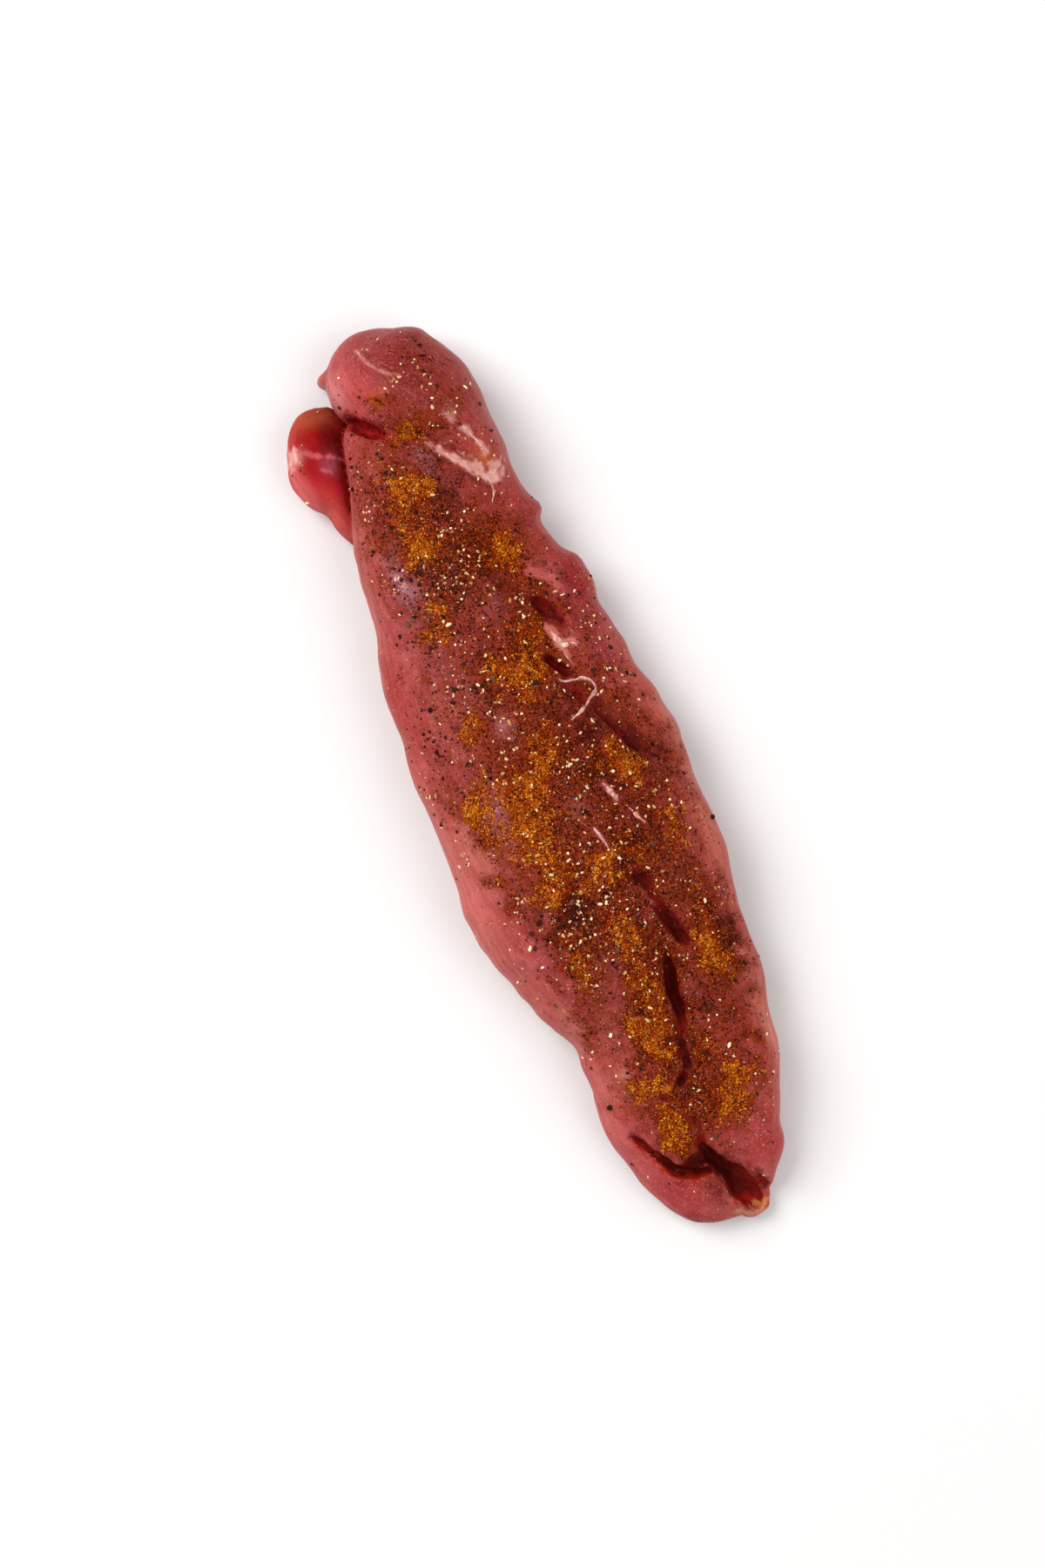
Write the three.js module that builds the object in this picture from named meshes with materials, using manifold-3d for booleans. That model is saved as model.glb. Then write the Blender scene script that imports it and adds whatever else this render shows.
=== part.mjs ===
// A raw pork tenderloin, rubbed with pepper and salt, lying on its flat underside.
// It runs along X, with the thick folded head at -X and the split tail at +X. Z is up, the
// underside is at Z = 0, and the origin is under the middle of the outline. In millimetres.

import * as THREE from "three";
import { mergeVertices } from "three/addons/utils/BufferGeometryUtils.js";
import Module from "manifold-3d";

const wasm = await Module();
wasm.setup();

// Driving dimensions
const LENGTH = 310;
const WIDTH = 88;
const BELLY_HEIGHT = 40;
const HEAD_HEIGHT = 35;
const LOBE_HEIGHT = 21;
const TAIL_HEIGHT = 25;
const FLAP_HEIGHT = 17;

// Shape of a section: how high its widest line lies, how full it is, and how far it is drawn
// below the floor before the underside is cut flat
const WIDEST_AT = 0.4;
const FULLNESS = 0.9;
const SINK = 3;

// Seasoning that is large enough to be felt: grains of pepper and salt, how far apart they lie,
// how flat they are and what share of each is pressed into the meat
const GRAIN_COUNT = 100;
const GRAIN_SPACING = 8;
const PEPPER_SIZE = 2.1;
const SALT_SIZE = 1.6;
const GRAIN_FLATNESS = 0.75;
const GRAIN_SUNK = 0.35;

// Where the rub lies, as shares of the length and the width, and the steepest slope it holds to
const SEASONED = { tail: 0.45, head: -0.46, left: -0.4, right: 0.42 };
const STEEPEST = 0.6;

// The main muscle. Each station gives its place along X, its two edges and its height.
const BODY = [
  { x: -134, left: -15, right: 14, top: 0.62 * HEAD_HEIGHT },
  { x: -124, left: -18.5, right: 20, top: 0.86 * HEAD_HEIGHT },
  { x: -110, left: -22.5, right: 26, top: 0.96 * HEAD_HEIGHT },
  { x: -96, left: -26.5, right: 29, top: 0.88 * BELLY_HEIGHT },
  { x: -84, left: -30.3, right: 30.2, top: 0.9 * BELLY_HEIGHT },
  { x: -70, left: -32.4, right: 32.2, top: 0.91 * BELLY_HEIGHT },
  { x: -60, left: -34.6, right: 36.8, top: 0.92 * BELLY_HEIGHT },
  { x: -48, left: -38.2, right: 38, top: 0.94 * BELLY_HEIGHT },
  { x: -30, left: -39.5, right: 39, top: 0.97 * BELLY_HEIGHT },
  { x: -10, left: -41.7, right: 42, top: BELLY_HEIGHT },
  { x: 10, left: -42.2, right: 42.9, top: BELLY_HEIGHT },
  { x: 30, left: -44.2, right: 42, top: 0.98 * BELLY_HEIGHT },
  { x: 48, left: -41.6, right: 41.2, top: 0.93 * BELLY_HEIGHT },
  { x: 60, left: -38, right: 38.8, top: 0.88 * BELLY_HEIGHT },
  { x: 74, left: -33, right: 37.4, top: 0.82 * BELLY_HEIGHT },
  { x: 82, left: -29, right: 37, top: 0.78 * BELLY_HEIGHT },
  { x: 94, left: -28.6, right: 34, top: 0.73 * BELLY_HEIGHT },
  { x: 108, left: -28.4, right: 31, top: 1.06 * TAIL_HEIGHT },
  { x: 120, left: -25, right: 25.4, top: 0.98 * TAIL_HEIGHT },
  { x: 131, left: -20, right: 19, top: 0.9 * TAIL_HEIGHT },
  { x: 137, left: -15, right: 15, top: 0.62 * TAIL_HEIGHT },
  { x: 149, left: -8, right: 13, top: 0.42 * TAIL_HEIGHT },
];

// Smaller forms that are joined to the main muscle. Each point gives a place in plan, the
// width there and the height of the crest.
const HEAD_CAP = [
  { x: -155, y: -1.5, width: 32, top: 0.7 * HEAD_HEIGHT },
  { x: -146, y: 1, width: 37.5, top: 0.9 * HEAD_HEIGHT },
  { x: -136, y: 5.8, width: 40, top: HEAD_HEIGHT },
  { x: -123, y: 13.5, width: 33, top: 1.04 * HEAD_HEIGHT },
  { x: -108, y: 20.5, width: 20, top: HEAD_HEIGHT },
  { x: -91, y: 26, width: 9, top: 0.84 * HEAD_HEIGHT },
];
const SIDE_LOBE = [
  { x: -138, y: -20, width: 22, top: 0.72 * LOBE_HEIGHT },
  { x: -129, y: -23.5, width: 26, top: LOBE_HEIGHT },
  { x: -119, y: -26, width: 25, top: LOBE_HEIGHT },
  { x: -107, y: -24.5, width: 19, top: 0.88 * LOBE_HEIGHT },
  { x: -90, y: -24, width: 9, top: 0.6 * LOBE_HEIGHT },
];
const TAIL_RIDGE = [
  { x: 78, y: 19, width: 16, top: 1.1 * TAIL_HEIGHT },
  { x: 102, y: 18, width: 28, top: 1.12 * TAIL_HEIGHT },
  { x: 120, y: 13.6, width: 25, top: TAIL_HEIGHT },
  { x: 138, y: 10.6, width: 19, top: 0.8 * TAIL_HEIGHT },
  { x: 151, y: 9, width: 11, top: 0.56 * TAIL_HEIGHT },
];
const TAIL_FLAP = [
  { x: 88, y: -18.5, width: 18, top: 0.9 * FLAP_HEIGHT },
  { x: 112, y: -20.5, width: 22.5, top: 1.1 * FLAP_HEIGHT },
  { x: 130, y: -16, width: 24, top: FLAP_HEIGHT },
  { x: 144, y: -5.5, width: 23, top: 0.9 * FLAP_HEIGHT },
  { x: 152, y: 8, width: 12, top: 0.7 * FLAP_HEIGHT },
];
const SKIN_TAG = [
  { x: -139, y: -10, width: 6, top: 15 },
  { x: -146, y: -13.5, width: 7, top: 17 },
  { x: -151, y: -10, width: 4, top: 15 },
];

// Strands of fat and sinew that stand a little proud of the meat: their thickness and line
const STRANDS = [
  { thick: 2.6, line: [[-113, 7.5], [-106, 13.5], [-99, 18], [-93, 23]] },
  { thick: 1.6, line: [[-117.5, 17.5], [-111, 20.5], [-103, 23.5]] },
  { thick: 1.7, line: [[-26, 16], [-24, 21], [-19.5, 23.6], [-16.5, 19.5], [-13.8, 13.5]] },
  { thick: 3, line: [[-44, 17.5], [-39, 19], [-34.5, 23]] },
];

// Soft valleys between the muscle bundles: the line each follows, its depth and its width
const VALLEYS = [
  { depth: 3.2, width: 6, line: [[-74, 10], [-52, 18], [-30, 16], [-16, 22], [8, 33]] },
  { depth: 2.4, width: 7, line: [[18, 6], [44, 11], [66, 12], [92, 6], [126, -3]] },
  { depth: 1.2, width: 9, line: [[-84, -6], [-30, -14], [30, -16], [70, -10]] },
];

// Slow waves in the top of the muscle: their height, and how far they run for each radian
const WAVES = [
  { height: 0.5, runX: 13, runY: 17 },
  { height: 0.4, runX: 7, runY: -9 },
];

// Open clefts, cut down from the surface. Each has its line in plan, its width and its depth.
const CLEFTS = [
  { width: 3.4, depth: 7, line: [[-129, -10.6], [-124.5, -6.6], [-119, -1.2], [-111, 6.5]] },
  { width: 5, depth: 5, line: [[-57, 16.5], [-49, 20], [-40, 23.5]] },
  { width: 4.6, depth: 5.5, line: [[-38, 13], [-33, 14.6], [-28, 17]] },
  { width: 5, depth: 2.6, line: [[-12.5, 24.4], [-3, 27], [10, 36.5]] },
  { width: 5.6, depth: 6.5, line: [[43, 10.5], [54, 14.2], [67, 16.8]] },
  { width: 5, depth: 7, line: [[63, 10.5], [75, 8], [92, 6]] },
  { width: 3.6, depth: 5, line: [[91, 6.4], [99, 3], [107, -4]] },
  { width: 8.6, depth: 8, line: [[120, -4], [129, -2], [139, 3.2], [147.5, 7.6]] },
  { width: 5, depth: 9, line: [[115, -27], [123, -20.5], [132, -17], [137, -11], [137, -3]] },
];

// How finely each kind of form is divided, and the share of its length that each end rounds over
const BODY_DETAIL = { along: 54, around: 34, roundEnds: 0.045 };
const LOBE_DETAIL = { along: 18, around: 20, roundEnds: 0.3 };
const TAG_DETAIL = { along: 8, around: 8, roundEnds: 0.4 };
const CLEFT_DETAIL = { along: 12, around: 8, roundEnds: 0.5 };
const STRAND_DETAIL = { along: 12, around: 6, roundEnds: 0.4 };

// Swept forms

// A closed form along a line: a sphere whose rings become its sections. Every ring is an oval
// around the point that placeAt gives, which grows from nothing over the rounded ends.
function sweptForm(placeAt, { along, around, roundEnds }) {
  const geometry = new THREE.SphereGeometry(1, around, along);
  const position = geometry.attributes.position;
  const direction = new THREE.Vector3();
  for (let i = 0; i < position.count; i += 1) {
    direction.fromBufferAttribute(position, i);
    const share = (1 - direction.y) / 2;
    const angle = Math.atan2(direction.z, direction.x);
    const nearEnd = Math.min(share, 1 - share, roundEnds) / roundEnds;
    const swell = Math.sqrt(Math.max(0, 1 - (1 - nearEnd) ** 2));
    const place = placeAt(share);
    const side = Math.sign(Math.cos(angle)) * Math.abs(Math.cos(angle)) ** FULLNESS;
    const up = Math.sin(angle);
    const reach = (side * swell * place.width) / 2;
    const rise = up > 0 ? place.top - place.middle : place.middle - place.bottom;
    position.setXYZ(
      i,
      place.x - place.slopeY * reach,
      place.y + place.slopeX * reach,
      place.middle + up * swell * rise,
    );
  }
  return geometry;
}

// A smooth curve through rows of x, y, width and height, read by the share of its way in plan
function curveThrough(rows) {
  const reached = [0];
  rows.slice(1).forEach(([x, y], i) => {
    const [fromX, fromY] = rows[i];
    reached.push(reached[i] + Math.hypot(x - fromX, y - fromY));
  });
  const total = reached[rows.length - 1];
  const curve = new THREE.CubicInterpolant(reached, rows.flat(), rows[0].length);
  return (share) => Array.from(curve.evaluate(THREE.MathUtils.clamp(share, 0, 1) * total));
}

// Reads a section's place on such a curve. Sections lie square to its line in plan, or square
// to X where the form is straight.
function placeReader(rows, heightsOf, straight = false) {
  const read = curveThrough(rows);
  const nearby = 0.004;
  return (share) => {
    const [x, y, width, height] = read(share);
    const [fromX, fromY] = read(share - nearby);
    const [toX, toY] = read(share + nearby);
    const run = straight ? 1 : Math.hypot(toX - fromX, toY - fromY);
    const slopeX = straight ? 1 : (toX - fromX) / run;
    const slopeY = straight ? 0 : (toY - fromY) / run;
    return { x, y, width, slopeX, slopeY, ...heightsOf(height) };
  };
}

// The heights of a section whose form lies on the floor
const standing = (top) => ({ top, middle: WIDEST_AT * top, bottom: -SINK });

// A form that lies on the floor
function standingForm(points, detail, straight) {
  const rows = points.map(({ x, y, width, top }) => [x, y, width, top]);
  return sweptForm(placeReader(rows, standing, straight), detail);
}

function distanceToLine(x, y, line) {
  const point = new THREE.Vector3(x, y, 0);
  const nearest = new THREE.Vector3();
  let least = Infinity;
  for (let i = 1; i < line.length; i += 1) {
    const start = new THREE.Vector3(...line[i - 1], 0);
    const end = new THREE.Vector3(...line[i], 0);
    new THREE.Line3(start, end).closestPointToPoint(point, true, nearest);
    least = Math.min(least, nearest.distanceTo(point));
  }
  return least;
}

// How much the top of the main muscle is lowered at a place: soft valleys and slow waves
function relief(x, y) {
  const waves = WAVES.reduce((sum, { height, runX, runY }) => {
    return sum + height * Math.sin(x / runX + y / runY);
  }, 0);
  const valleys = VALLEYS.reduce((sum, { depth, width, line }) => {
    return sum + depth * Math.exp(-((distanceToLine(x, y, line) / width) ** 2));
  }, 0);
  return waves + valleys;
}

function bodyForm() {
  const points = BODY.map(({ x, left, right, top }) => {
    return { x, y: (left + right) / 2, width: right - left, top };
  });
  const geometry = standingForm(points, BODY_DETAIL, true);
  const position = geometry.attributes.position;
  const place = new THREE.Vector3();
  for (let i = 0; i < position.count; i += 1) {
    place.fromBufferAttribute(position, i);
    const onTop = THREE.MathUtils.smoothstep(place.z, 0.4 * BELLY_HEIGHT, 0.75 * BELLY_HEIGHT);
    position.setZ(i, place.z - onTop * relief(place.x, place.y));
  }
  return geometry;
}

// Joining and cutting

function solidOf(geometry) {
  const bare = geometry.clone().deleteAttribute("normal").deleteAttribute("uv");
  const merged = mergeVertices(bare);
  const vertProperties = new Float32Array(merged.attributes.position.array);
  const triVerts = new Uint32Array(merged.index.array);
  return new wasm.Manifold(new wasm.Mesh({ numProp: 3, vertProperties, triVerts }));
}

function geometryOf(solid) {
  const { vertProperties, triVerts } = solid.getMesh();
  const geometry = new THREE.BufferGeometry();
  geometry.setAttribute("position", new THREE.BufferAttribute(vertProperties, 3));
  geometry.setIndex(new THREE.BufferAttribute(triVerts, 1));
  geometry.computeVertexNormals();
  return geometry;
}

// Finds the height and the slope of the meat at places in plan
function surfaceReader(solid) {
  const mesh = new THREE.Mesh(geometryOf(solid));
  const down = new THREE.Vector3(0, 0, -1);
  const above = 2 * BELLY_HEIGHT;
  return (x, y) => {
    const ray = new THREE.Raycaster(new THREE.Vector3(x, y, above), down);
    const [hit] = ray.intersectObject(mesh);
    return hit ? { z: hit.point.z, normal: hit.face.normal } : null;
  };
}

// A spindle along a line on the surface, as deep below it as above. It cuts a cleft, or is a
// strand that stands proud.
function surfaceSpindle(line, width, depth, surface, detail) {
  const rows = line.map(([x, y]) => [x, y, width, surface(x, y)?.z ?? 0]);
  const aroundLevel = (level) => ({ top: level + depth, middle: level, bottom: level - depth });
  return sweptForm(placeReader(rows, aroundLevel), detail);
}

// Grains of seasoning

// A random number between two, from a seeded row that is the same on every run
const SEED = 11;
THREE.MathUtils.seededRandom(SEED);
const between = (low, high) => THREE.MathUtils.lerp(low, high, THREE.MathUtils.seededRandom());

function grain(size) {
  const geometry = new THREE.IcosahedronGeometry(size / 2, 0);
  geometry.scale(between(0.75, 1.15), between(0.75, 1.15), GRAIN_FLATNESS);
  geometry.rotateX(between(0, Math.PI / 4));
  geometry.rotateZ(between(0, Math.PI));
  return geometry;
}

// Grains spread evenly over the seasoned top, the larger pepper first
function grains(surface) {
  const places = [];
  const found = [];
  const mostTries = 40 * GRAIN_COUNT;
  for (let tries = 0; tries < mostTries && found.length < GRAIN_COUNT; tries += 1) {
    const x = between(SEASONED.head, SEASONED.tail) * LENGTH;
    const y = between(SEASONED.left, SEASONED.right) * WIDTH;
    const hit = surface(x, y);
    const holds = hit && hit.normal.z > STEEPEST && hit.z > TAIL_HEIGHT / 2;
    if (holds && places.every((other) => Math.hypot(x - other[0], y - other[1]) > GRAIN_SPACING)) {
      const size = found.length < GRAIN_COUNT / 2 ? PEPPER_SIZE : SALT_SIZE;
      const lift = (0.5 - GRAIN_SUNK) * size * GRAIN_FLATNESS;
      places.push([x, y]);
      found.push(grain(size).translate(x, y, hit.z + lift));
    }
  }
  return found;
}

// The whole tenderloin

function tenderloin() {
  const lobes = [HEAD_CAP, SIDE_LOBE, TAIL_RIDGE, TAIL_FLAP];
  const forms = lobes.map((points) => standingForm(points, LOBE_DETAIL));
  forms.push(standingForm(SKIN_TAG, TAG_DETAIL));
  let meat = forms.reduce((whole, form) => whole.add(solidOf(form)), solidOf(bodyForm()));

  const surface = surfaceReader(meat);
  for (const { line, width, depth } of CLEFTS) {
    const cutter = surfaceSpindle(line, width, depth, surface, CLEFT_DETAIL);
    meat = meat.subtract(solidOf(cutter));
  }
  for (const { line, thick } of STRANDS) {
    const strand = surfaceSpindle(line, thick, thick / 2, surface, STRAND_DETAIL);
    meat = meat.add(solidOf(strand));
  }

  const below = new THREE.BoxGeometry(2 * LENGTH, 2 * WIDTH, 2 * SINK).translate(0, 0, -SINK);
  meat = meat.subtract(solidOf(below));
  const seasoning = grains(surfaceReader(meat)).map(solidOf);
  return seasoning.reduce((whole, one) => whole.add(one), meat);
}

const rawPork = new THREE.MeshStandardMaterial({ color: 0xb05358, roughness: 0.45, metalness: 0 });
const mesh = new THREE.Mesh(geometryOf(tenderloin()), rawPork);
mesh.name = "tenderloin";

const group = new THREE.Group();
group.add(mesh);

export default group;
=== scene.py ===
# A raw pork tenderloin, rubbed with salt, pepper and ground spices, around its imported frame.
# Shapes are worked out in millimetres and become metres when they turn into meshes.

import math

import bmesh
import bpy
import numpy as np
from mathutils import Matrix, Vector


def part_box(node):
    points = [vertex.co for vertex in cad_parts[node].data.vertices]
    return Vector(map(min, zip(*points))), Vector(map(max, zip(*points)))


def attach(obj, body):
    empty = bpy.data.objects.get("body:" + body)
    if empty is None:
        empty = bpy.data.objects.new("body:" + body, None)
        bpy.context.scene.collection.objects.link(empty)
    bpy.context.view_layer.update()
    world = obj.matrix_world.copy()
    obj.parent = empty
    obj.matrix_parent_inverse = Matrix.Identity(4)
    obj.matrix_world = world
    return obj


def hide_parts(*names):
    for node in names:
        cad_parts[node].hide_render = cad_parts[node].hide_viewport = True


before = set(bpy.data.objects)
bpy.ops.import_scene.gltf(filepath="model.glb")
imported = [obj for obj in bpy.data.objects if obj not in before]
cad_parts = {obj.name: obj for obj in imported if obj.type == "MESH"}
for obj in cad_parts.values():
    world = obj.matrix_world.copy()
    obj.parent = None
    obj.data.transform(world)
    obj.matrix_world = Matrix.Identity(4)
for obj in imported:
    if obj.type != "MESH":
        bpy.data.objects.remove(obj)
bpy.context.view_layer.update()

MM = 0.001

# Driving heights of the muscle and its folds, in millimetres
BELLY_HEIGHT = 40
HEAD_HEIGHT = 35
LOBE_HEIGHT = 21
TAIL_HEIGHT = 25
FLAP_HEIGHT = 17

# Shape of a section: how high its widest line lies, how full it is and how far it is drawn
# below the floor before the underside is cut flat
WIDEST_AT = 0.4
FULLNESS = 0.9
SINK = 3


def measured(height, rows):
    """Rows that end in a height, from rows that end in a share of a driving height."""
    return [(*row, share * height) for *row, share in rows]


# The main muscle: place along X, left and right edge, and height as a share of a driving one
BODY_STATIONS = measured(HEAD_HEIGHT, [
    (-137, -13, 14, 0.66), (-129, -18.4, 18, 0.8), (-121, -20.2, 21.4, 0.88), (-110, -23.2, 26, 0.96),
]) + measured(BELLY_HEIGHT, [
    (-96, -26.9, 29.4, 0.88), (-90, -29.1, 29.9, 0.89), (-84, -30.3, 31, 0.9), (-80.4, -31, 32.4, 0.9),
    (-76, -31.6, 30.6, 0.91), (-66, -33, 32.6, 0.915), (-59, -35.2, 37, 0.92),
    (-52, -37.2, 38.2, 0.935), (-44, -38.8, 36.9, 0.95), (-30, -39.6, 39.4, 0.97),
    (-21, -41.2, 40, 0.98), (-14, -42.2, 41.9, 0.99), (-8, -41.6, 41.7, 1), (1, -41.1, 43.2, 1),
    (12, -41.6, 42.2, 1), (20, -42.5, 41.7, 0.99), (30, -44, 42.3, 0.98), (40, -43.2, 42.4, 0.95),
    (48, -41.6, 41.1, 0.93), (60, -38.2, 38.2, 0.88), (74, -33.2, 37.8, 0.82), (82, -28.8, 37, 0.78),
    (90, -29, 35.6, 0.75), (98, -28.8, 32.6, 0.72),
]) + measured(TAIL_HEIGHT, [
    (108, -28.4, 31, 1.06), (120, -25, 25.4, 0.98), (131, -20, 18, 0.9), (137, -15, 15, 0.62),
    (149, -8, 13, 0.42),
])

# Smaller forms that lie on or against it: place in plan, width, and the crest's height in the
# same way. The skin tag has its height itself.
HEAD_CAP = measured(HEAD_HEIGHT, [
    (-155.6, -3.2, 33, 0.72), (-146.4, -0.9, 37.2, 0.9), (-136, 3.8, 40.6, 1), (-123, 12.4, 37, 1.04),
    (-108, 19.2, 21.4, 1), (-97, 23.6, 12.6, 0.9), (-87, 26.4, 6.6, 0.8),
])
SIDE_LOBE = measured(LOBE_HEIGHT, [
    (-140.2, -20.9, 22.6, 0.74), (-129, -23.2, 23.2, 1), (-119, -25.9, 26.2, 1),
    (-107, -24, 17.6, 0.88), (-90, -24, 9, 0.6),
])
TAIL_RIDGE = measured(TAIL_HEIGHT, [
    (78, 19, 16, 1.1), (102, 18, 27.4, 1.12), (120, 13.6, 25.2, 1), (130, 11.4, 21.6, 0.9),
    (138, 10.8, 20.2, 0.8), (151, 8.6, 10.2, 0.56),
])
TAIL_FLAP = measured(FLAP_HEIGHT, [
    (88, -18.5, 18, 0.9), (112, -20.3, 22, 1.1), (124, -17.4, 22.6, 1), (131, -14.6, 24.6, 1),
    (144, -6, 24.8, 0.9), (152, 7.4, 13.6, 0.7),
])
TAIL_TIP = measured(FLAP_HEIGHT, [
    (142, -0.6, 10, 0.55), (149.6, 2.6, 13.6, 0.5), (157.4, 3.6, 8, 0.4),
])
SKIN_TAG = [
    (-143, -6, 8, 21), (-146, -12.4, 6.4, 17), (-148, -17.4, 4.6, 13),
]

# Each form with the share of its length that an end rounds over, how softly it melts into what
# it joins, and how deep a crease runs where they meet
BODY, CAP, LOBE, RIDGE, FLAP, TAG, TIP = range(7)
JOINED = [
    (CAP, HEAD_CAP, 0.26, 0.8, 0.8),
    (LOBE, SIDE_LOBE, 0.25, 0.6, 1.5),
    (RIDGE, TAIL_RIDGE, 0.3, 5, 0),
    (FLAP, TAIL_FLAP, 0.3, 3, 0.2),
    (TAG, SKIN_TAG, 0.3, 2, 0),
    (TIP, TAIL_TIP, 0.11, 2.4, 0),
]
BODY_ENDS = 0.045
CREASE_WIDTH = 1.3
# The share of a form's length over which its crease fades out
CREASE_FADE = (0.68, 0.86)

# Soft valleys between the muscle bundles, and one low ridge: depth, width and line
VALLEYS = [
    (3.2, 6, [(-74, 10), (-52, 18), (-30, 16), (-16, 22), (8, 33)]),
    (2.4, 7, [(18, 6), (44, 11), (66, 12), (92, 6), (126, -3)]),
    (1.2, 9, [(-84, -6), (-30, -14), (30, -16), (70, -10)]),
    (1.8, 3.4, [(-18, 22), (-11, 22.8), (-5, 25.6), (0, 28.6), (8, 33.4)]),
    (-1.2, 2.6, [(-63, 19.6), (-57.6, 24.4), (-52, 29)]), (1.5, 3, [(-57, 29.6), (-48, 30.8)]),
]
# The heights between which this relief of the top comes in
RELIEF_FROM = 0.4 * BELLY_HEIGHT
RELIEF_FULL = 0.75 * BELLY_HEIGHT

# Slow waves in the top: height, and how far each runs for a radian along X and Y
SLOW_WAVES = [(0.5, 13, 17), (0.4, 7, -9)]

# Open clefts and shallow seams: width, depth, how softly the lips round over, and line
CLEFTS = [
    (4.2, 5, 1.4, [(-130.6, -13.8), (-127, -11.6), (-123.4, -8.8), (-119.2, -3.6)]),
    (4.6, 4, 2, [(-55.6, 17), (-52, 18.2), (-47, 20.8), (-41, 23.4)]),
    (3.4, 5, 1.6, [(-35.6, 13), (-31, 15), (-26.8, 17.6)]),
    (4, 1.6, 2.2, [(-18, 21.6), (-10.8, 23.4), (-4, 26.6), (4, 31), (10, 37)]),
    (2.8, 3.4, 2, [(37.6, 11.8), (44, 13.4), (52.6, 14.4)]),
    (5, 4.8, 1.8, [(50.2, 13.8), (56, 14.8), (61, 15.7), (67, 17.2)]),
    (4.4, 6, 1.8, [(63.8, 9.8), (72.3, 8.6), (77.3, 7.8), (82.6, 7.7), (91, 5.8)]),
    (2.4, 2.2, 2, [(87, 6.8), (91.4, 5.1), (95.7, 2.9), (99.4, 2.2)]),
    (2.8, 2.6, 1.8, [(97.6, 2.8), (101.6, 1.8), (104.4, -0.2)]),
    (3, 2.8, 1.8, [(103.2, 0.6), (105.8, -3), (107.2, -4.8)]),
    (6.2, 9, 1, [(126, -5.6), (135, -2), (141, 0.8), (149, 4)]),
    (9.8, 8, 1, [(137, -1.8), (145.6, 2.2), (154, 5.8)]),
    (6, 5.4, 1.4, [(128.4, -5.4), (132, -9.4), (134.6, -14)]),
    (2.6, 4, 1.2, [(115.6, -23.4), (120.7, -20.6), (127.6, -18)]),
    (3.8, 7, 1.2, [(125.6, -18.8), (132.2, -15.6), (135.4, -11.4), (136.6, -4.6)]),
    (6, 2, 2.2, [(-25.6, 16), (-20.6, 18.8), (-16.4, 19.8)]),
    (4.4, 2, 2.2, [(34.6, 9.8), (40.6, 13.1), (45.6, 13.7)]),
    (2.6, 1.8, 2, [(105.6, -11.6), (111, -7.9), (114.9, -5.7), (118.6, -4.6)]),
    (2.2, 1.6, 2, [(117, -3), (122, -2.6), (128, -4)]),
    (3.4, 3.4, 1, [(143.6, 9), (146.3, 9.2), (151, 10.6)]),
    (2.8, 1.6, 2, [(8, 17), (12.6, 18.2), (17, 17.8), (23, 19.6)]),
    (2.6, 1.6, 2, [(-66, 8.4), (-62.5, 9), (-59, 11.4)]),
]
# The share of a cleft's length that an end rounds over, and the lowest height it reaches
CLEFT_ENDS = 0.5
CLEFT_FLOOR = 4.5

# The grid that the surface is drawn through: its spacing in millimetres, the room around the
# meat, and how many steps it goes below the floor
GRID_STEP = np.array([1.05, 0.78, 0.9])
GRID_ROOM = 4
GRID_UNDER = 2.5
# How far from a form its distance is worked out
FAR = 12
CURVE_STEPS = 140
WAVE_COUNT = 18
# How many times each point of the surface is moved towards it
DRAW_ROUNDS = 3
# How many places are measured at once, which keeps the memory low
BATCH = 20000


# Curves and distances

def smooth_step(low, high, value):
    """0 below low, 1 above high and smooth between."""
    share = np.clip((value - low) / (high - low), 0, 1)
    return share * share * (3 - 2 * share)


def in_plan(x, y):
    """Places in plan as one array."""
    return np.stack(np.broadcast_arrays(x, y), axis=-1)


def waves(points, length, seed):
    """Random smooth waves of about unit height, of a length that can differ along each axis."""
    draw = np.random.default_rng(seed)
    turns = draw.normal(size=(WAVE_COUNT, points.shape[-1]))
    turns *= draw.uniform(0.6, 1.5, (WAVE_COUNT, 1)) / np.linalg.norm(turns, axis=1, keepdims=True)
    turns *= 2 * math.pi / np.asarray(length)
    phases = draw.uniform(0, 2 * math.pi, WAVE_COUNT)
    total = np.zeros(points.shape[:-1], np.float32)
    for turn, phase in zip(turns, phases):
        total += np.cos(points @ turn + phase)
    return total * math.sqrt(2 / WAVE_COUNT)


def with_waves(value, points, *layers):
    """A value with waves on top of it: the height, length and seed of each."""
    for height, length, seed in layers:
        value = value + height * waves(points, length, seed)
    return value


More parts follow.
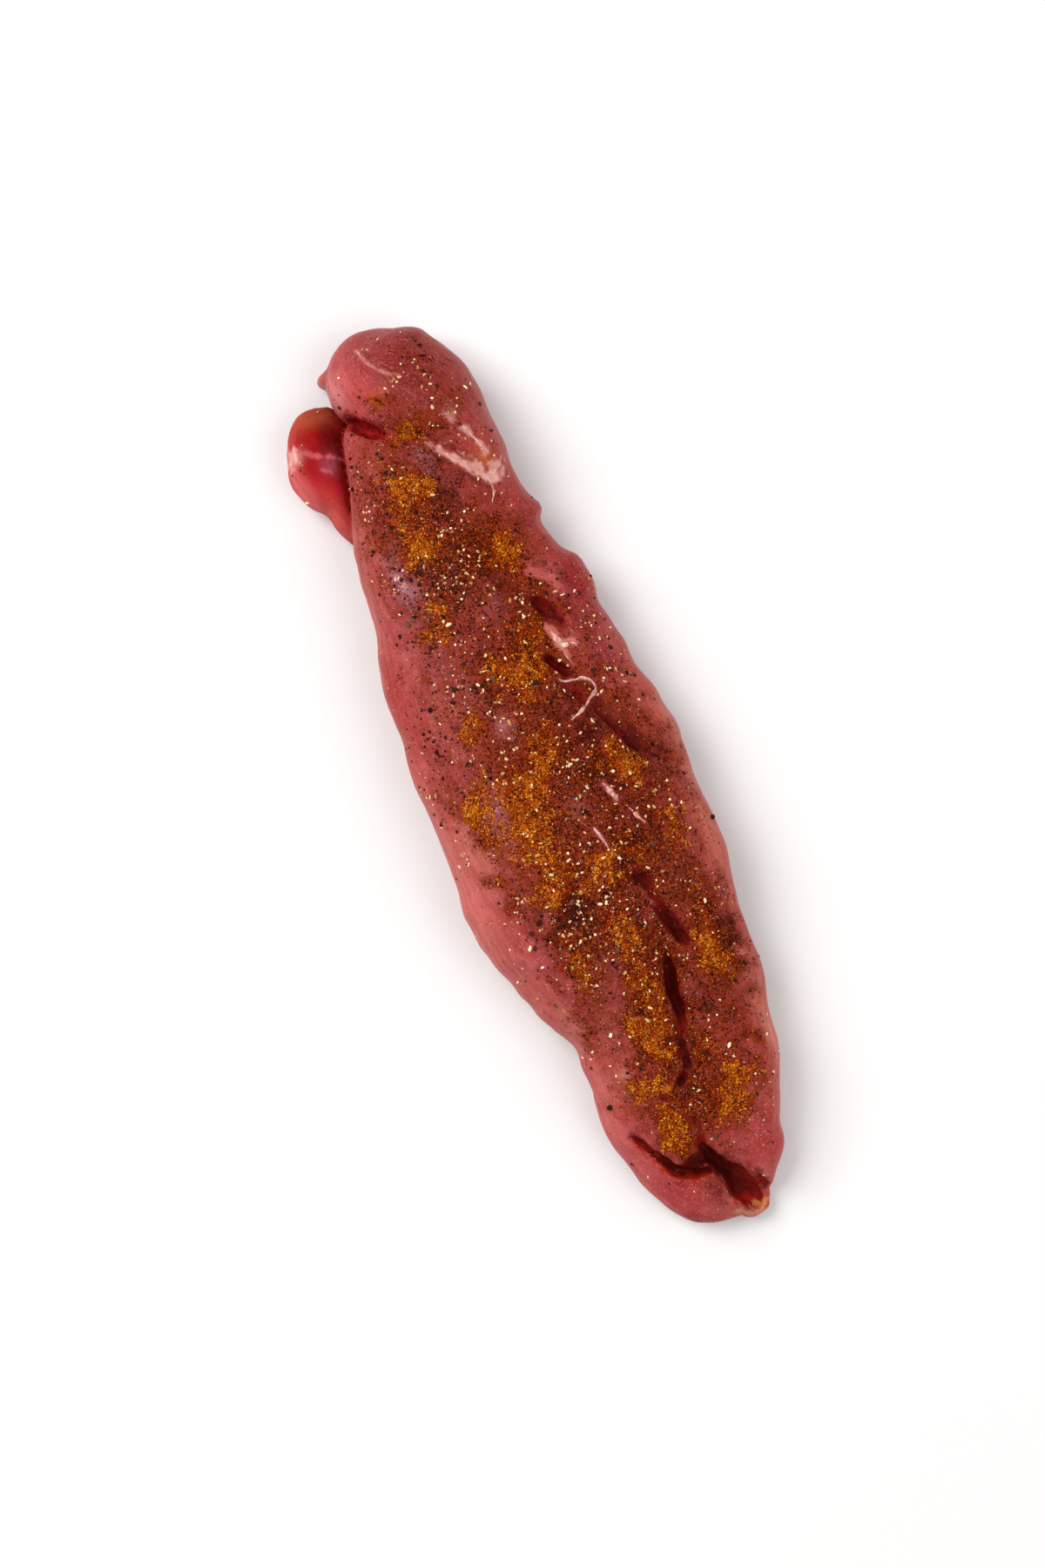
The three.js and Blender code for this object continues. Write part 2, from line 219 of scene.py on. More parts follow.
class Line:
    """A smooth curve in plan through rows of x, y and any further values."""

    def __init__(self, rows, straight=False):
        rows = np.array(rows, float)
        steps = np.hypot(*np.diff(rows[:, :2], axis=0).T)
        reached = np.concatenate([[0], np.cumsum(steps)])
        slopes = np.diff(rows, axis=0) / steps[:, None]
        ends = np.vstack([slopes[:1], (slopes[1:] + slopes[:-1]) / 2, slopes[-1:]])
        way = np.linspace(0, reached[-1], CURVE_STEPS)
        piece = np.clip(np.searchsorted(reached, way, side="right") - 1, 0, len(steps) - 1)
        size = steps[piece, None]
        t = (way[:, None] - reached[piece, None]) / size
        self.rows = (
            (2 * t**3 - 3 * t**2 + 1) * rows[piece]
            + (t**3 - 2 * t**2 + t) * size * ends[piece]
            + (3 * t**2 - 2 * t**3) * rows[piece + 1]
            + (t**3 - t**2) * size * ends[piece + 1]
        )
        self.straight = straight
        self.length = reached[-1]
        self.share = np.linspace(0, 1, CURVE_STEPS)
        along = np.gradient(self.rows[:, :2], axis=0)
        self.along = along / np.linalg.norm(along, axis=1, keepdims=True)

    def place(self, x, y):
        """The share of the way, how far past an end, and the offset to the left."""
        if self.straight:
            share = np.interp(x, self.rows[:, 0], self.share)
            start, end = self.rows[0, 0], self.rows[-1, 0]
            past = np.maximum(0, np.maximum(start - x, x - end))
            return share, past, y - self.values(share, 1)
        x, y = np.broadcast_arrays(x, y)
        flat = np.stack([x.ravel(), y.ravel()], axis=1)
        found = np.empty(len(flat), int)
        for first in range(0, len(flat), BATCH):
            part = flat[first:first + BATCH, None, :] - self.rows[None, :, :2]
            found[first:first + BATCH] = np.einsum("ijk,ijk->ij", part, part).argmin(axis=1)
        apart = flat - self.rows[found, :2]
        along = self.along[found]
        ahead = np.einsum("ij,ij->i", apart, along)
        aside = apart[:, 1] * along[:, 0] - apart[:, 0] * along[:, 1]
        share = self.share[found] + ahead / self.length
        past = np.maximum(0, np.maximum(-share, share - 1)) * self.length
        return [value.reshape(x.shape) for value in (np.clip(share, 0, 1), past, aside)]

    def values(self, share, column):
        return np.interp(share, self.share, self.rows[:, column])


def spindle_distance(line, place, z, middle, rise, fall, round_ends):
    """About how far a point is outside an oval form along a line, negative inside."""
    share, past, aside = place
    power = 2 / FULLNESS
    half = np.maximum(line.values(share, 2), 0.5) / 2
    end = round_ends * line.length
    lengthwise = 1 - np.clip(np.minimum(share, 1 - share) / round_ends, 0, 1) + past / end
    across = np.abs(aside) / half
    upright = np.where(z > middle, (z - middle) / rise, (middle - z) / fall)
    size = np.sqrt(lengthwise**2 + across**power + upright**2)
    steep_across = power / 2 * across ** (power - 1) / half
    steep_up = upright / np.where(z > middle, rise, fall)
    steep = np.sqrt((lengthwise / end) ** 2 + steep_across**2 + steep_up**2)
    reach = size / np.maximum(steep, 0.01 * size + 1e-9)
    return np.clip((size - 1) * reach, -FAR, FAR)


def standing_distance(line, place, z, round_ends):
    """The same for a form that lies on the floor."""
    top = line.values(place[0], 3)
    middle = WIDEST_AT * top
    return spindle_distance(line, place, z, middle, top - middle, middle + SINK, round_ends)


def distance_to(x, y, points):
    """The distance in plan to the nearest part of a line through points."""
    least = np.full(np.broadcast(x, y).shape, np.inf, np.float32)
    for (from_x, from_y), (to_x, to_y) in zip(points, points[1:]):
        run_x, run_y = to_x - from_x, to_y - from_y
        share = ((x - from_x) * run_x + (y - from_y) * run_y) / (run_x**2 + run_y**2)
        share = np.clip(share, 0, 1)
        apart = np.hypot(x - from_x - share * run_x, y - from_y - share * run_y)
        least = np.minimum(least, apart)
    return least


# The meat as a field

body_rows = [(x, (left + right) / 2, right - left, top) for x, left, right, top in BODY_STATIONS]
BODY_LINE = Line(body_rows, straight=True)
FORM_LINES = {form: Line(rows) for form, rows, *_ in JOINED}


def body_distance(x, y, z):
    """The main muscle, its top lowered by valleys, slow waves and soft bundles."""
    low = sum(height * np.sin(x / run_x + y / run_y) for height, run_x, run_y in SLOW_WAVES)
    for depth, width, points in VALLEYS:
        low = low + depth * np.exp(-((distance_to(x, y, points) / width) ** 2))
    low = with_waves(low, in_plan(x, y), (0.3, (40, 12), 3), (0.14, (14, 7), 4))
    raised = z + smooth_step(RELIEF_FROM, RELIEF_FULL, z) * low
    return standing_distance(BODY_LINE, BODY_LINE.place(x, y), raised, BODY_ENDS)


def melted(first, second, softness):
    """The union of two fields, rounded where they meet."""
    mix = np.clip(0.5 + 0.5 * (second - first) / softness, 0, 1)
    return second + (first - second) * mix - softness * mix * (1 - mix)


def wandered(x, y):
    """Places moved a little at random, so that edges wander as in real meat."""
    plan = in_plan(x, y)
    shifts = [with_waves(0, plan, (0.35, 36, seed), (0.12, 14, seed + 1)) for seed in (21, 23)]
    return x + shifts[0], y + shifts[1]


class Grid:
    """Evenly spaced places around the whole muscle, and the field of the meat at each."""

    def __init__(self):
        low, high = (np.array(corner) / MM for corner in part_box("tenderloin"))
        low, high = low - GRID_ROOM, high + GRID_ROOM
        low[2] = -GRID_UNDER * GRID_STEP[2]
        self.low = low
        counts = np.ceil((high - low) / GRID_STEP).astype(int)
        self.x, self.y, self.z = (low[i] + GRID_STEP[i] * np.arange(counts[i]) for i in range(3))
        self.field = self.whole()
        self.tops = self.top_heights()
        self.cut_clefts()
        self.tops = self.top_heights()
        self.field = np.maximum(self.field, -self.z[None, None, :]).astype(np.float32)

    def part(self, line, reach):
        """The block of the grid around a line, and its places."""
        near = []
        for axis, places in ((0, self.x), (1, self.y)):
            first, last = line.rows[:, axis].min() - reach, line.rows[:, axis].max() + reach
            near.append(slice(*np.searchsorted(places, [first, last])))
        x, y = wandered(self.x[near[0], None, None], self.y[None, near[1], None])
        return tuple(near), x, y, self.z[None, None, :]

    def whole(self):
        """The field of all the forms, joined one after the other."""
        x, y = wandered(self.x[:, None, None], self.y[None, :, None])
        field = body_distance(x, y, self.z[None, None, :])
        for form, rows, round_ends, softness, crease in JOINED:
            line = FORM_LINES[form]
            near, x, y, z = self.part(line, line.rows[:, 2].max() / 2 + FAR)
            place = line.place(x, y)
            added = standing_distance(line, place, z, round_ends)
            before = field[near]
            crease = crease * (1 - smooth_step(*CREASE_FADE, place[0]))
            groove = crease * np.exp(-(((before - added) / CREASE_WIDTH) ** 2))
            field[near] = melted(before, added, softness) + groove
        return field

    def top_heights(self):
        """The height of the surface over each place in plan, 0 where there is none."""
        inside = self.field < 0
        last = self.field.shape[2] - 1 - inside[:, :, ::-1].argmax(axis=2)
        last = np.clip(last, 0, self.field.shape[2] - 2)
        i, j = np.indices(last.shape)
        below, above = self.field[i, j, last], self.field[i, j, last + 1]
        share = below / np.where(above == below, 1, below - above)
        heights = self.z[last] + np.clip(share, 0, 1) * GRID_STEP[2]
        return np.where(inside.any(axis=2), np.maximum(heights, 0), 0)

    def top_at(self, x, y):
        """The height of the surface at places in plan."""
        at_x = np.clip((np.asarray(x) - self.x[0]) / GRID_STEP[0], 0, len(self.x) - 1.001)
        at_y = np.clip((np.asarray(y) - self.y[0]) / GRID_STEP[1], 0, len(self.y) - 1.001)
        i, j = at_x.astype(int), at_y.astype(int)
        s, t = at_x - i, at_y - j
        near = (1 - t) * self.tops[i, j] + t * self.tops[i, j + 1]
        far = (1 - t) * self.tops[i + 1, j] + t * self.tops[i + 1, j + 1]
        return (1 - s) * near + s * far

    def cut_clefts(self):
        """Takes the clefts out of the field, each sunk from the top that is over it."""
        for width, depth, lip, points in CLEFTS:
            levels = self.top_at(*np.transpose(points))
            line = Line([(x, y, width, level) for (x, y), level in zip(points, levels)])
            near, x, y, z = self.part(line, width / 2 + FAR)
            place = line.place(x, y)
            level = line.values(place[0], 3)
            gap = spindle_distance(line, place, z, level, depth, depth, CLEFT_ENDS)
            gap = with_waves(gap, in_plan(x, y), (0.25, 9, 25), (0.1, 4, 26))
            gap = np.maximum(gap, CLEFT_FLOOR - z)
            self.field[near] = -melted(-self.field[near], gap, lip)

    def sample(self, points):
        """The field at any points, by straight lines between the places of the grid."""
        at = (points - self.low) / GRID_STEP
        base = np.clip(at.astype(int), 0, np.array(self.field.shape) - 2)
        share = at - base
        total = 0
        for corner in np.ndindex(2, 2, 2):
            weight = np.prod(np.where(corner, share, 1 - share), axis=1)
            total = total + weight * self.field[tuple((base + corner).T)]
        return total

    def slope(self, points):
        """The direction in which the field grows fastest, and how fast."""
        reach = 0.5 * GRID_STEP.min()
        steps = np.eye(3) * reach
        change = [(self.sample(points + step) - self.sample(points - step)) for step in steps]
        return np.stack(change, axis=1) / (2 * reach)


def surface_net(grid):
    """Points and quads of the surface where the field is 0: one point in each cell it crosses."""
    shape = np.array(grid.field.shape)
    cells, places, quads = [], [], []
    for axis in range(3):
        aside, up = (axis + 1) % 3, (axis + 2) % 3
        ahead = np.moveaxis(grid.field, axis, 0)
        low = np.moveaxis(ahead[:-1], 0, axis)
        high = np.moveaxis(ahead[1:], 0, axis)
        crossed = (low < 0) != (high < 0)
        index = np.argwhere(crossed)
        from_value, to_value = low[crossed], high[crossed]
        place = index.astype(float)
        place[:, axis] += from_value / (from_value - to_value)
        ring = []
        for back_aside, back_up in ((0, 0), (1, 0), (1, 1), (0, 1)):
            cell = index.copy()
            cell[:, aside] -= back_aside
            cell[:, up] -= back_up
            ring.append(np.ravel_multi_index(cell.T, shape))
            places.append(place)
        ring = np.stack(ring, axis=1)
        cells.append(ring.T.ravel())
        quads.append(np.where(from_value[:, None] < 0, ring, ring[:, ::-1]))
    used, number = np.unique(np.concatenate(cells), return_inverse=True)
    places = np.concatenate(places)
    count = np.bincount(number)
    points = np.stack([np.bincount(number, places[:, i]) / count for i in range(3)], axis=1)
    faces = np.searchsorted(used, np.concatenate(quads))
    return grid.low + GRID_STEP * points, faces


def drawn_to_surface(grid, points):
    """Points moved onto the surface, and the direction out of it at each."""
    for _ in range(DRAW_ROUNDS):
        slope = grid.slope(points)
        steep = np.maximum((slope**2).sum(axis=1, keepdims=True), 0.2)
        step = grid.sample(points)[:, None] * slope / steep
        points = points - np.clip(step, -0.5 * GRID_STEP, 0.5 * GRID_STEP)
    slope = grid.slope(points)
    return points, slope / np.maximum(np.linalg.norm(slope, axis=1, keepdims=True), 1e-6)


# Where things lie on the surface

def amount(x, y, patches):
    """How much of something there is at places in plan, from patches with soft edges."""
    bare = np.ones(np.shape(x), np.float32)
    for at_x, at_y, reach_x, reach_y, strength in patches:
        apart = ((x - at_x) / reach_x) ** 2 + ((y - at_y) / reach_y) ** 2
        bare = bare * (1 - strength * np.exp(-apart))
    return 1 - bare


# How near another form the seam of painted shade shows. Beside the flap it shows from one place along X
# on.
# At the head it fades out between two places, up to where the head's part ends.
SEAM_REACH = 1.1
FLAP_SEAM_FROM = 118
HEAD_SEAM_FADE = (-108, -98)
HEAD_PART_ENDS = -80
# The height at which the fibres turn down the side, and a step that gives each form fibres of
# its own
SIDE_LEVEL = 14
FORM_STEP = 400


class Surface:
    """The skin of the meat: its points, the way out of it, and what lies there."""

    def __init__(self, grid):
        self.points, self.faces = surface_net(grid)
        self.points, self.out = drawn_to_surface(grid, self.points)
        self.x, self.y, self.z = self.points.T
        self.find_forms()
        self.roughen()

    def find_forms(self):
        """Which form each point is on, its place along and around it, and how deep it is cut in."""
        near_x, near_y = wandered(self.x, self.y)
        place = BODY_LINE.place(near_x, near_y)
        apart = [body_distance(near_x, near_y, self.z)]
        along, around = [place[0] * BODY_LINE.length], [place[2]]
        for form, rows, round_ends, softness, crease in JOINED:
            line = FORM_LINES[form]
            place = line.place(near_x, near_y)
            apart.append(standing_distance(line, place, self.z, round_ends))
            along.append(place[0] * line.length + FORM_STEP * form)
            around.append(place[2])
        apart = np.array(apart)
        self.form = apart.argmin(axis=0)
        pick = (self.form, np.arange(len(self.x)))
        ranked = np.sort(apart, axis=0)
        self.cut = -ranked[0]
        # How near another form a point is, where the seam gets painted shade
        self.crease = np.exp(-((np.maximum(ranked[1], 0) / SEAM_REACH) ** 2))
        self.crease[(self.form == RIDGE) | (ranked[1] == apart[RIDGE])] = 0
        self.crease[(self.form >= FLAP) & (self.form != TAG)] = 0
        self.crease[(ranked[1] == apart[FLAP]) & (self.x < FLAP_SEAM_FROM)] = 0
        fading = 1 - smooth_step(*HEAD_SEAM_FADE, self.x)
        self.crease *= np.where(self.x < HEAD_PART_ENDS, fading, 1)
        self.along = np.array(along)[pick]
        over = self.z - SIDE_LEVEL
        around = np.array(around)[pick]
        self.around = around - np.sign(around) * np.where(over > 0, over, 0.5 * over)

    def roughen(self):
        """Small relief on the skin: fibres that run along each form, and uneven lumps."""
        lay = np.stack([self.along, self.around, self.z * 0.3], axis=1)
        upright = smooth_step(0.2, 0.8, self.out[:, 2])
        bent = lay + 1.4 * np.stack([waves(self.points, 17, seed) for seed in (35, 36, 37)], axis=1)
        fibres = with_waves(0, bent, (0.03, (24, 2.6, 5), 31), (0.035, (17, 4.4, 8), 32))
        lumps = with_waves(0, self.points, (0.07, 8, 33), (0.05, 3.4, 34), (0.03, 2.2, 38))
        torn = smooth_step(0.6, 2.5, self.cut)
        lift = fibres * (1 + 2 * torn) + lumps * (0.3 + 0.7 * upright + torn)
        lift *= smooth_step(0.3, 3, self.z)
        self.points = self.points + self.out * lift[:, None]
        self.points[:, 2] = np.maximum(self.points[:, 2], 0)


GRID = Grid()
SKIN = Surface(GRID)


# Colours, as they are seen on screen

FLESH = (157, 55, 53)
FLESH_DEEP = (130, 38, 38)
FLESH_PALE = (194, 98, 95)
# Clefts: the deeper red of cut flesh, partly painted shade; painted shade deeper down; and painted
# shade beside them
CLEFT_RED = (122, 18, 10)
CLEFT_DEPTH_SHADE = (74, 8, 4)
CLEFT_SHADE = (98, 14, 8)
MAUVE = (142, 68, 80)
BROWN = (92, 32, 18)
ORANGE = (152, 60, 16)
# Painted sheen: the window's reflection on wet silverskin, painted into the colour
SILVERSKIN_SHEEN = (188, 148, 170)
# Dark wet flesh in the seams, darkened further as painted shade in the hollows
WET_AND_SHADE = (58, 6, 5)

# The heights from which clefts and the wet, shaded places are coloured, and from which streaks are
CLEFTS_FROM = 8
STREAKS_FROM = 3

# How much paler the rim of each form is where its side turns down, in the order of the forms:
# painted light, standing in for light through the thin edge and light bounced from the floor
RIM_LIGHT_SHARES = (0.6, 0.35, 0.12, 0.6, 0.4, 0.6, 0.6)

# Areas of another colour on each form: centre, reach, colour and strength
TINTS = {
    BODY: [
        # The pale bands at the flanks' outer edges, here and further down, are painted light: light
        # through the thin edges and light bounced from the floor
        (40, 40, 60, 6, (196, 98, 84), 0.85), (-52, 31, 14, 7, (132, 34, 34), 0.85),
        (-20, 37, 20, 4, (176, 80, 68), 0.7), (28, -41, 50, 7, (200, 106, 100), 0.85),
        (-66, -32, 20, 6, (174, 84, 82), 0.8), (-40, -35, 12, 5, (164, 56, 52), 0.8),
        (-90, -26, 18, 5, (170, 76, 66), 0.8), (92, -27, 26, 5, (168, 70, 62), 0.8),
        (62, -33, 14, 5, (182, 92, 84), 0.7), (78, -16, 16, 8, (176, 88, 80), 0.7),
        (97.4, -18.2, 2.6, 2, (206, 146, 130), 0.7), (81, -23, 3, 2.4, (150, 50, 16), 0.7),
        (90, 19, 14, 6, (132, 40, 38), 0.85), (100, 31, 18, 3, (204, 112, 90), 0.85),
        (131, -9, 4, 4, (88, 24, 13), 0.9), (14, 3, 9, 6, (164, 72, 70), 0.7),
        (-60, -2, 12, 7, (164, 78, 72), 0.6), (-90, 18, 14, 6, (128, 36, 32), 0.7),
        (-32, 29, 14, 5, (150, 46, 52), 0.75), (-2, 36, 9, 3, (164, 58, 30), 0.7),
        # Rows with the silverskin colour, here and below, are painted sheen: the window's reflection on
        # wet silverskin, with a painted highlight at its brightest spot
        (-72, -17, 6, 3.6, SILVERSKIN_SHEEN, 0.75), (-71, -18, 3, 2.4, (208, 180, 198), 0.35),
        (-79, -19, 5, 3, SILVERSKIN_SHEEN, 0.6), (-62, -16, 6, 3, SILVERSKIN_SHEEN, 0.35), (-69, -4, 6, 4, SILVERSKIN_SHEEN, 0.4),
        (-18.6, -7.6, 6, 3.6, SILVERSKIN_SHEEN, 0.8), (3, -20, 8, 5, SILVERSKIN_SHEEN, 0.8), (-44, -16, 14, 6, MAUVE, 0.7),
        (-8, -24, 16, 5, MAUVE, 0.7), (66, -8, 10, 6, MAUVE, 0.6), (-58, 4, 8, 6, MAUVE, 0.7),
        (-107, 4, 6, 3, SILVERSKIN_SHEEN, 0.6), (12, 3, 5, 4, SILVERSKIN_SHEEN, 0.4), (23, 19, 6, 4, (120, 34, 18), 0.6),
        # The dark row at 6, 31 is painted shade in the soft valley
        (80, 13, 3, 3, SILVERSKIN_SHEEN, 0.5), (6, 31, 12, 6, (104, 14, 8), 0.75),
        (50, 18, 12, 4, (134, 36, 38), 0.6), (-70, 24, 16, 5, (146, 40, 22), 0.75),
        (66, 33, 16, 4, (148, 48, 30), 0.5), (-49, 21, 7, 4, (104, 6, 10), 0.9),
        (-60, 20.6, 5, 3, (178, 66, 60), 0.8), (-52, 31, 8, 4, (146, 24, 36), 0.8),
        (-58.4, 25, 5, 2.6, (196, 100, 98), 0.7), (-73, 18, 9, 4, (158, 52, 24), 0.85),
        (9, -30, 12, 6, (194, 112, 98), 0.75), (-11, -34, 9, 4, (146, 56, 48), 0.6),
        (50, -23, 12, 5, (150, 66, 80), 0.8), (84, 19, 5, 3, (140, 44, 14), 0.6),
        # The dark row at -7, 31 is painted shade in the same valley
        (-7, 31, 6, 4, (112, 24, 12), 0.6), (-124, -16.6, 6, 4, (178, 72, 72), 0.85),
        (-32, -25, 9, 4, (186, 96, 86), 0.6), (104, -20, 6, 4, (152, 52, 18), 0.8),
        # More pale bands at the flanks' outer edges: painted light
        (82, 34, 9, 4, (192, 106, 94), 0.8), (32, 38.6, 14, 4, (198, 108, 88), 0.8),
        (-1, 41, 10, 2.6, (204, 126, 106), 0.7), (98, -25.6, 8, 4, (202, 106, 98), 0.7),
        (78, -27.6, 9, 4, (202, 118, 104), 0.7), (10, -10, 24, 14, (180, 106, 84), 0.5),
    ],
    CAP: [
        (-136.6, 13.6, 19, 12.6, (100, 24, 22), 0.92), (-126, 14, 12, 10, (112, 28, 24), 0.8),
        (-148, -9, 12, 8, (156, 56, 60), 0.95), (-140, -8, 10, 6, (172, 66, 66), 0.85),
        (-131, -8, 6, 4, (180, 72, 70), 0.7), (-112, 27, 16, 5, (158, 66, 58), 0.8),
        (-146, 22, 12, 5, (150, 58, 52), 0.6), (-99.6, 21, 5, 3.4, (186, 96, 54), 0.9),
        (-118.4, 17.2, 1.8, 1.4, (222, 168, 162), 0.8), (-118.4, 3, 7, 9, (124, 40, 18), 0.85),
        # The pale rows at -142, -11 and -140, -14 are painted highlights on the cap's left side
        (-111, 13.4, 6, 4, (130, 48, 32), 0.8), (-142, -11, 6, 4, (196, 98, 100), 0.4),
        (-140, -14, 7, 2.6, (208, 126, 126), 0.7), (-149, 5, 7, 10, (130, 44, 46), 0.75),
    ],
    TAG: [
        (-148, -15, 7, 5, (168, 76, 66), 0.8), (-149.6, -18, 3, 3, (170, 88, 48), 0.8),
    ],
    LOBE: [
        (-120, -27, 26, 18, (148, 0, 14), 1), (-129, -26, 8, 7, (148, 0, 4), 1),
        # The dark rows at -126, -20 and -113, -22.6 are painted shade where the body's edge hangs over
        # the lobe
        (-126, -20, 14, 5, (80, 0, 4), 1), (-113, -22.6, 10, 3, (104, 0, 8), 0.9),
        (-110, -28, 8, 4, (170, 8, 26), 0.8), (-137, -28, 4, 8, (178, 78, 50), 0.85),
        (-132, -35, 5, 4, (190, 66, 60), 0.8), (-117, -37, 12, 3, (216, 102, 100), 0.9),
        # The pale spot at -125.6, -34.6 is a painted highlight on the lobe's rim
        (-125.6, -34.6, 2, 3.4, (224, 156, 148), 0.8), (-119, -24, 3.4, 3.6, (152, 64, 80), 0.8),
        (-136.6, -19, 3.6, 6, (140, 60, 34), 0.9), (-102, -30, 10, 4, (194, 84, 76), 0.85),
        (-109, -34.4, 7, 2.4, (214, 104, 102), 0.7),
    ],
    FLAP: [
        # The pale bands at the flap's outer edge are painted light
        (128, -25, 18, 6, (180, 82, 82), 0.85), (142, -14, 10, 7, (160, 54, 56), 0.8),
        (150, -5, 7, 6, (190, 98, 88), 0.6), (131, -9, 4, 4, (88, 24, 13), 0.9),
        (110, -27, 9, 4, (200, 104, 100), 0.8), (144.6, -6, 6, 3.4, (98, 14, 22), 0.9),
        (139, -7.4, 3.4, 2.6, (110, 26, 14), 0.8),
    ],
    RIDGE: [
        (150, 9, 3, 2.4, (150, 36, 34), 0.7), (130, 16, 24, 8, (172, 60, 60), 0.85),
        # The pale band at the ridge's outer edge, at 104, 31, is painted light
        (122, 24, 22, 4, (186, 84, 72), 0.85), (104, 31, 16, 3.4, (214, 130, 110), 0.9),
        (101, 18, 10, 5, (150, 50, 60), 0.85), (104, 25, 14, 3.4, (158, 48, 26), 0.9),
        (146, 11, 5, 3, (188, 100, 92), 0.8),
    ],
}

# Dark places in seams and clefts, clear of seasoning: partly dark wet flesh, partly painted
# shade in the hollows. Centre, reach and strength
WET_AND_SHADED_PLACES = [
    (-15, 22.6, 6, 2.8, 0.95), (-8, 24.4, 5, 2.8, 0.95), (-1, 28.6, 5, 3, 1), (5, 32, 5, 3, 0.95),
    (-62, 9.4, 3.4, 2, 0.8), (-27, 16, 3, 2, 0.6), (-2, 12.4, 3, 2, 0.6), (11.4, 18.4, 4, 2, 0.7),
    (23, 18, 4, 2.6, 0.85), (42, 12.6, 5, 2.6, 0.85), (67, 32, 4, 2.8, 0.95), (-45, 22, 4, 2.4, 0.8),
    (96, 3.6, 4, 2, 0.9), (101.6, 1.4, 3, 2.2, 0.95), (106, -2.6, 2.8, 2, 0.95),
    (107.6, 6.9, 2.6, 2, 0.8), (131.6, -8.4, 3, 2.4, 0.8), (-17.4, 13, 3, 2, 0.6),
    (120.4, -3, 4, 1.4, 0.7), (62, 15.6, 5, 2, 0.6),
]

# Streaks of another colour: width, line, colour and strength. Less seasoning sticks to the fat.
FAT_STREAKS = [
    (1.6, [(-111.8, 7), (-108.6, 9.6)], (210, 148, 134), 0.8),
    (3, [(-108.8, 9.6), (-103.6, 13.2)], (218, 158, 144), 0.8),
    (3.8, [(-103.8, 13.4), (-98.6, 17.2), (-94.8, 20.4)], (226, 172, 160), 0.85),
    (4, [(-95.4, 20.8), (-94.8, 22.6), (-97.2, 24)], (222, 168, 156), 0.85),
    (3, [(-43.4, 17.8), (-40, 18.8), (-36, 19.4)], (188, 104, 94), 0.8),
    (1.4, [(-36, 19.4), (-31.6, 19.8)], (184, 100, 92), 0.7),
    (2.6, [(-38, 18.8), (-36.4, 20), (-36, 23)], (196, 120, 110), 0.7),
    (2.8, [(-62, 19.4), (-58, 24.2), (-52, 28.8)], (190, 94, 92), 0.4),
]
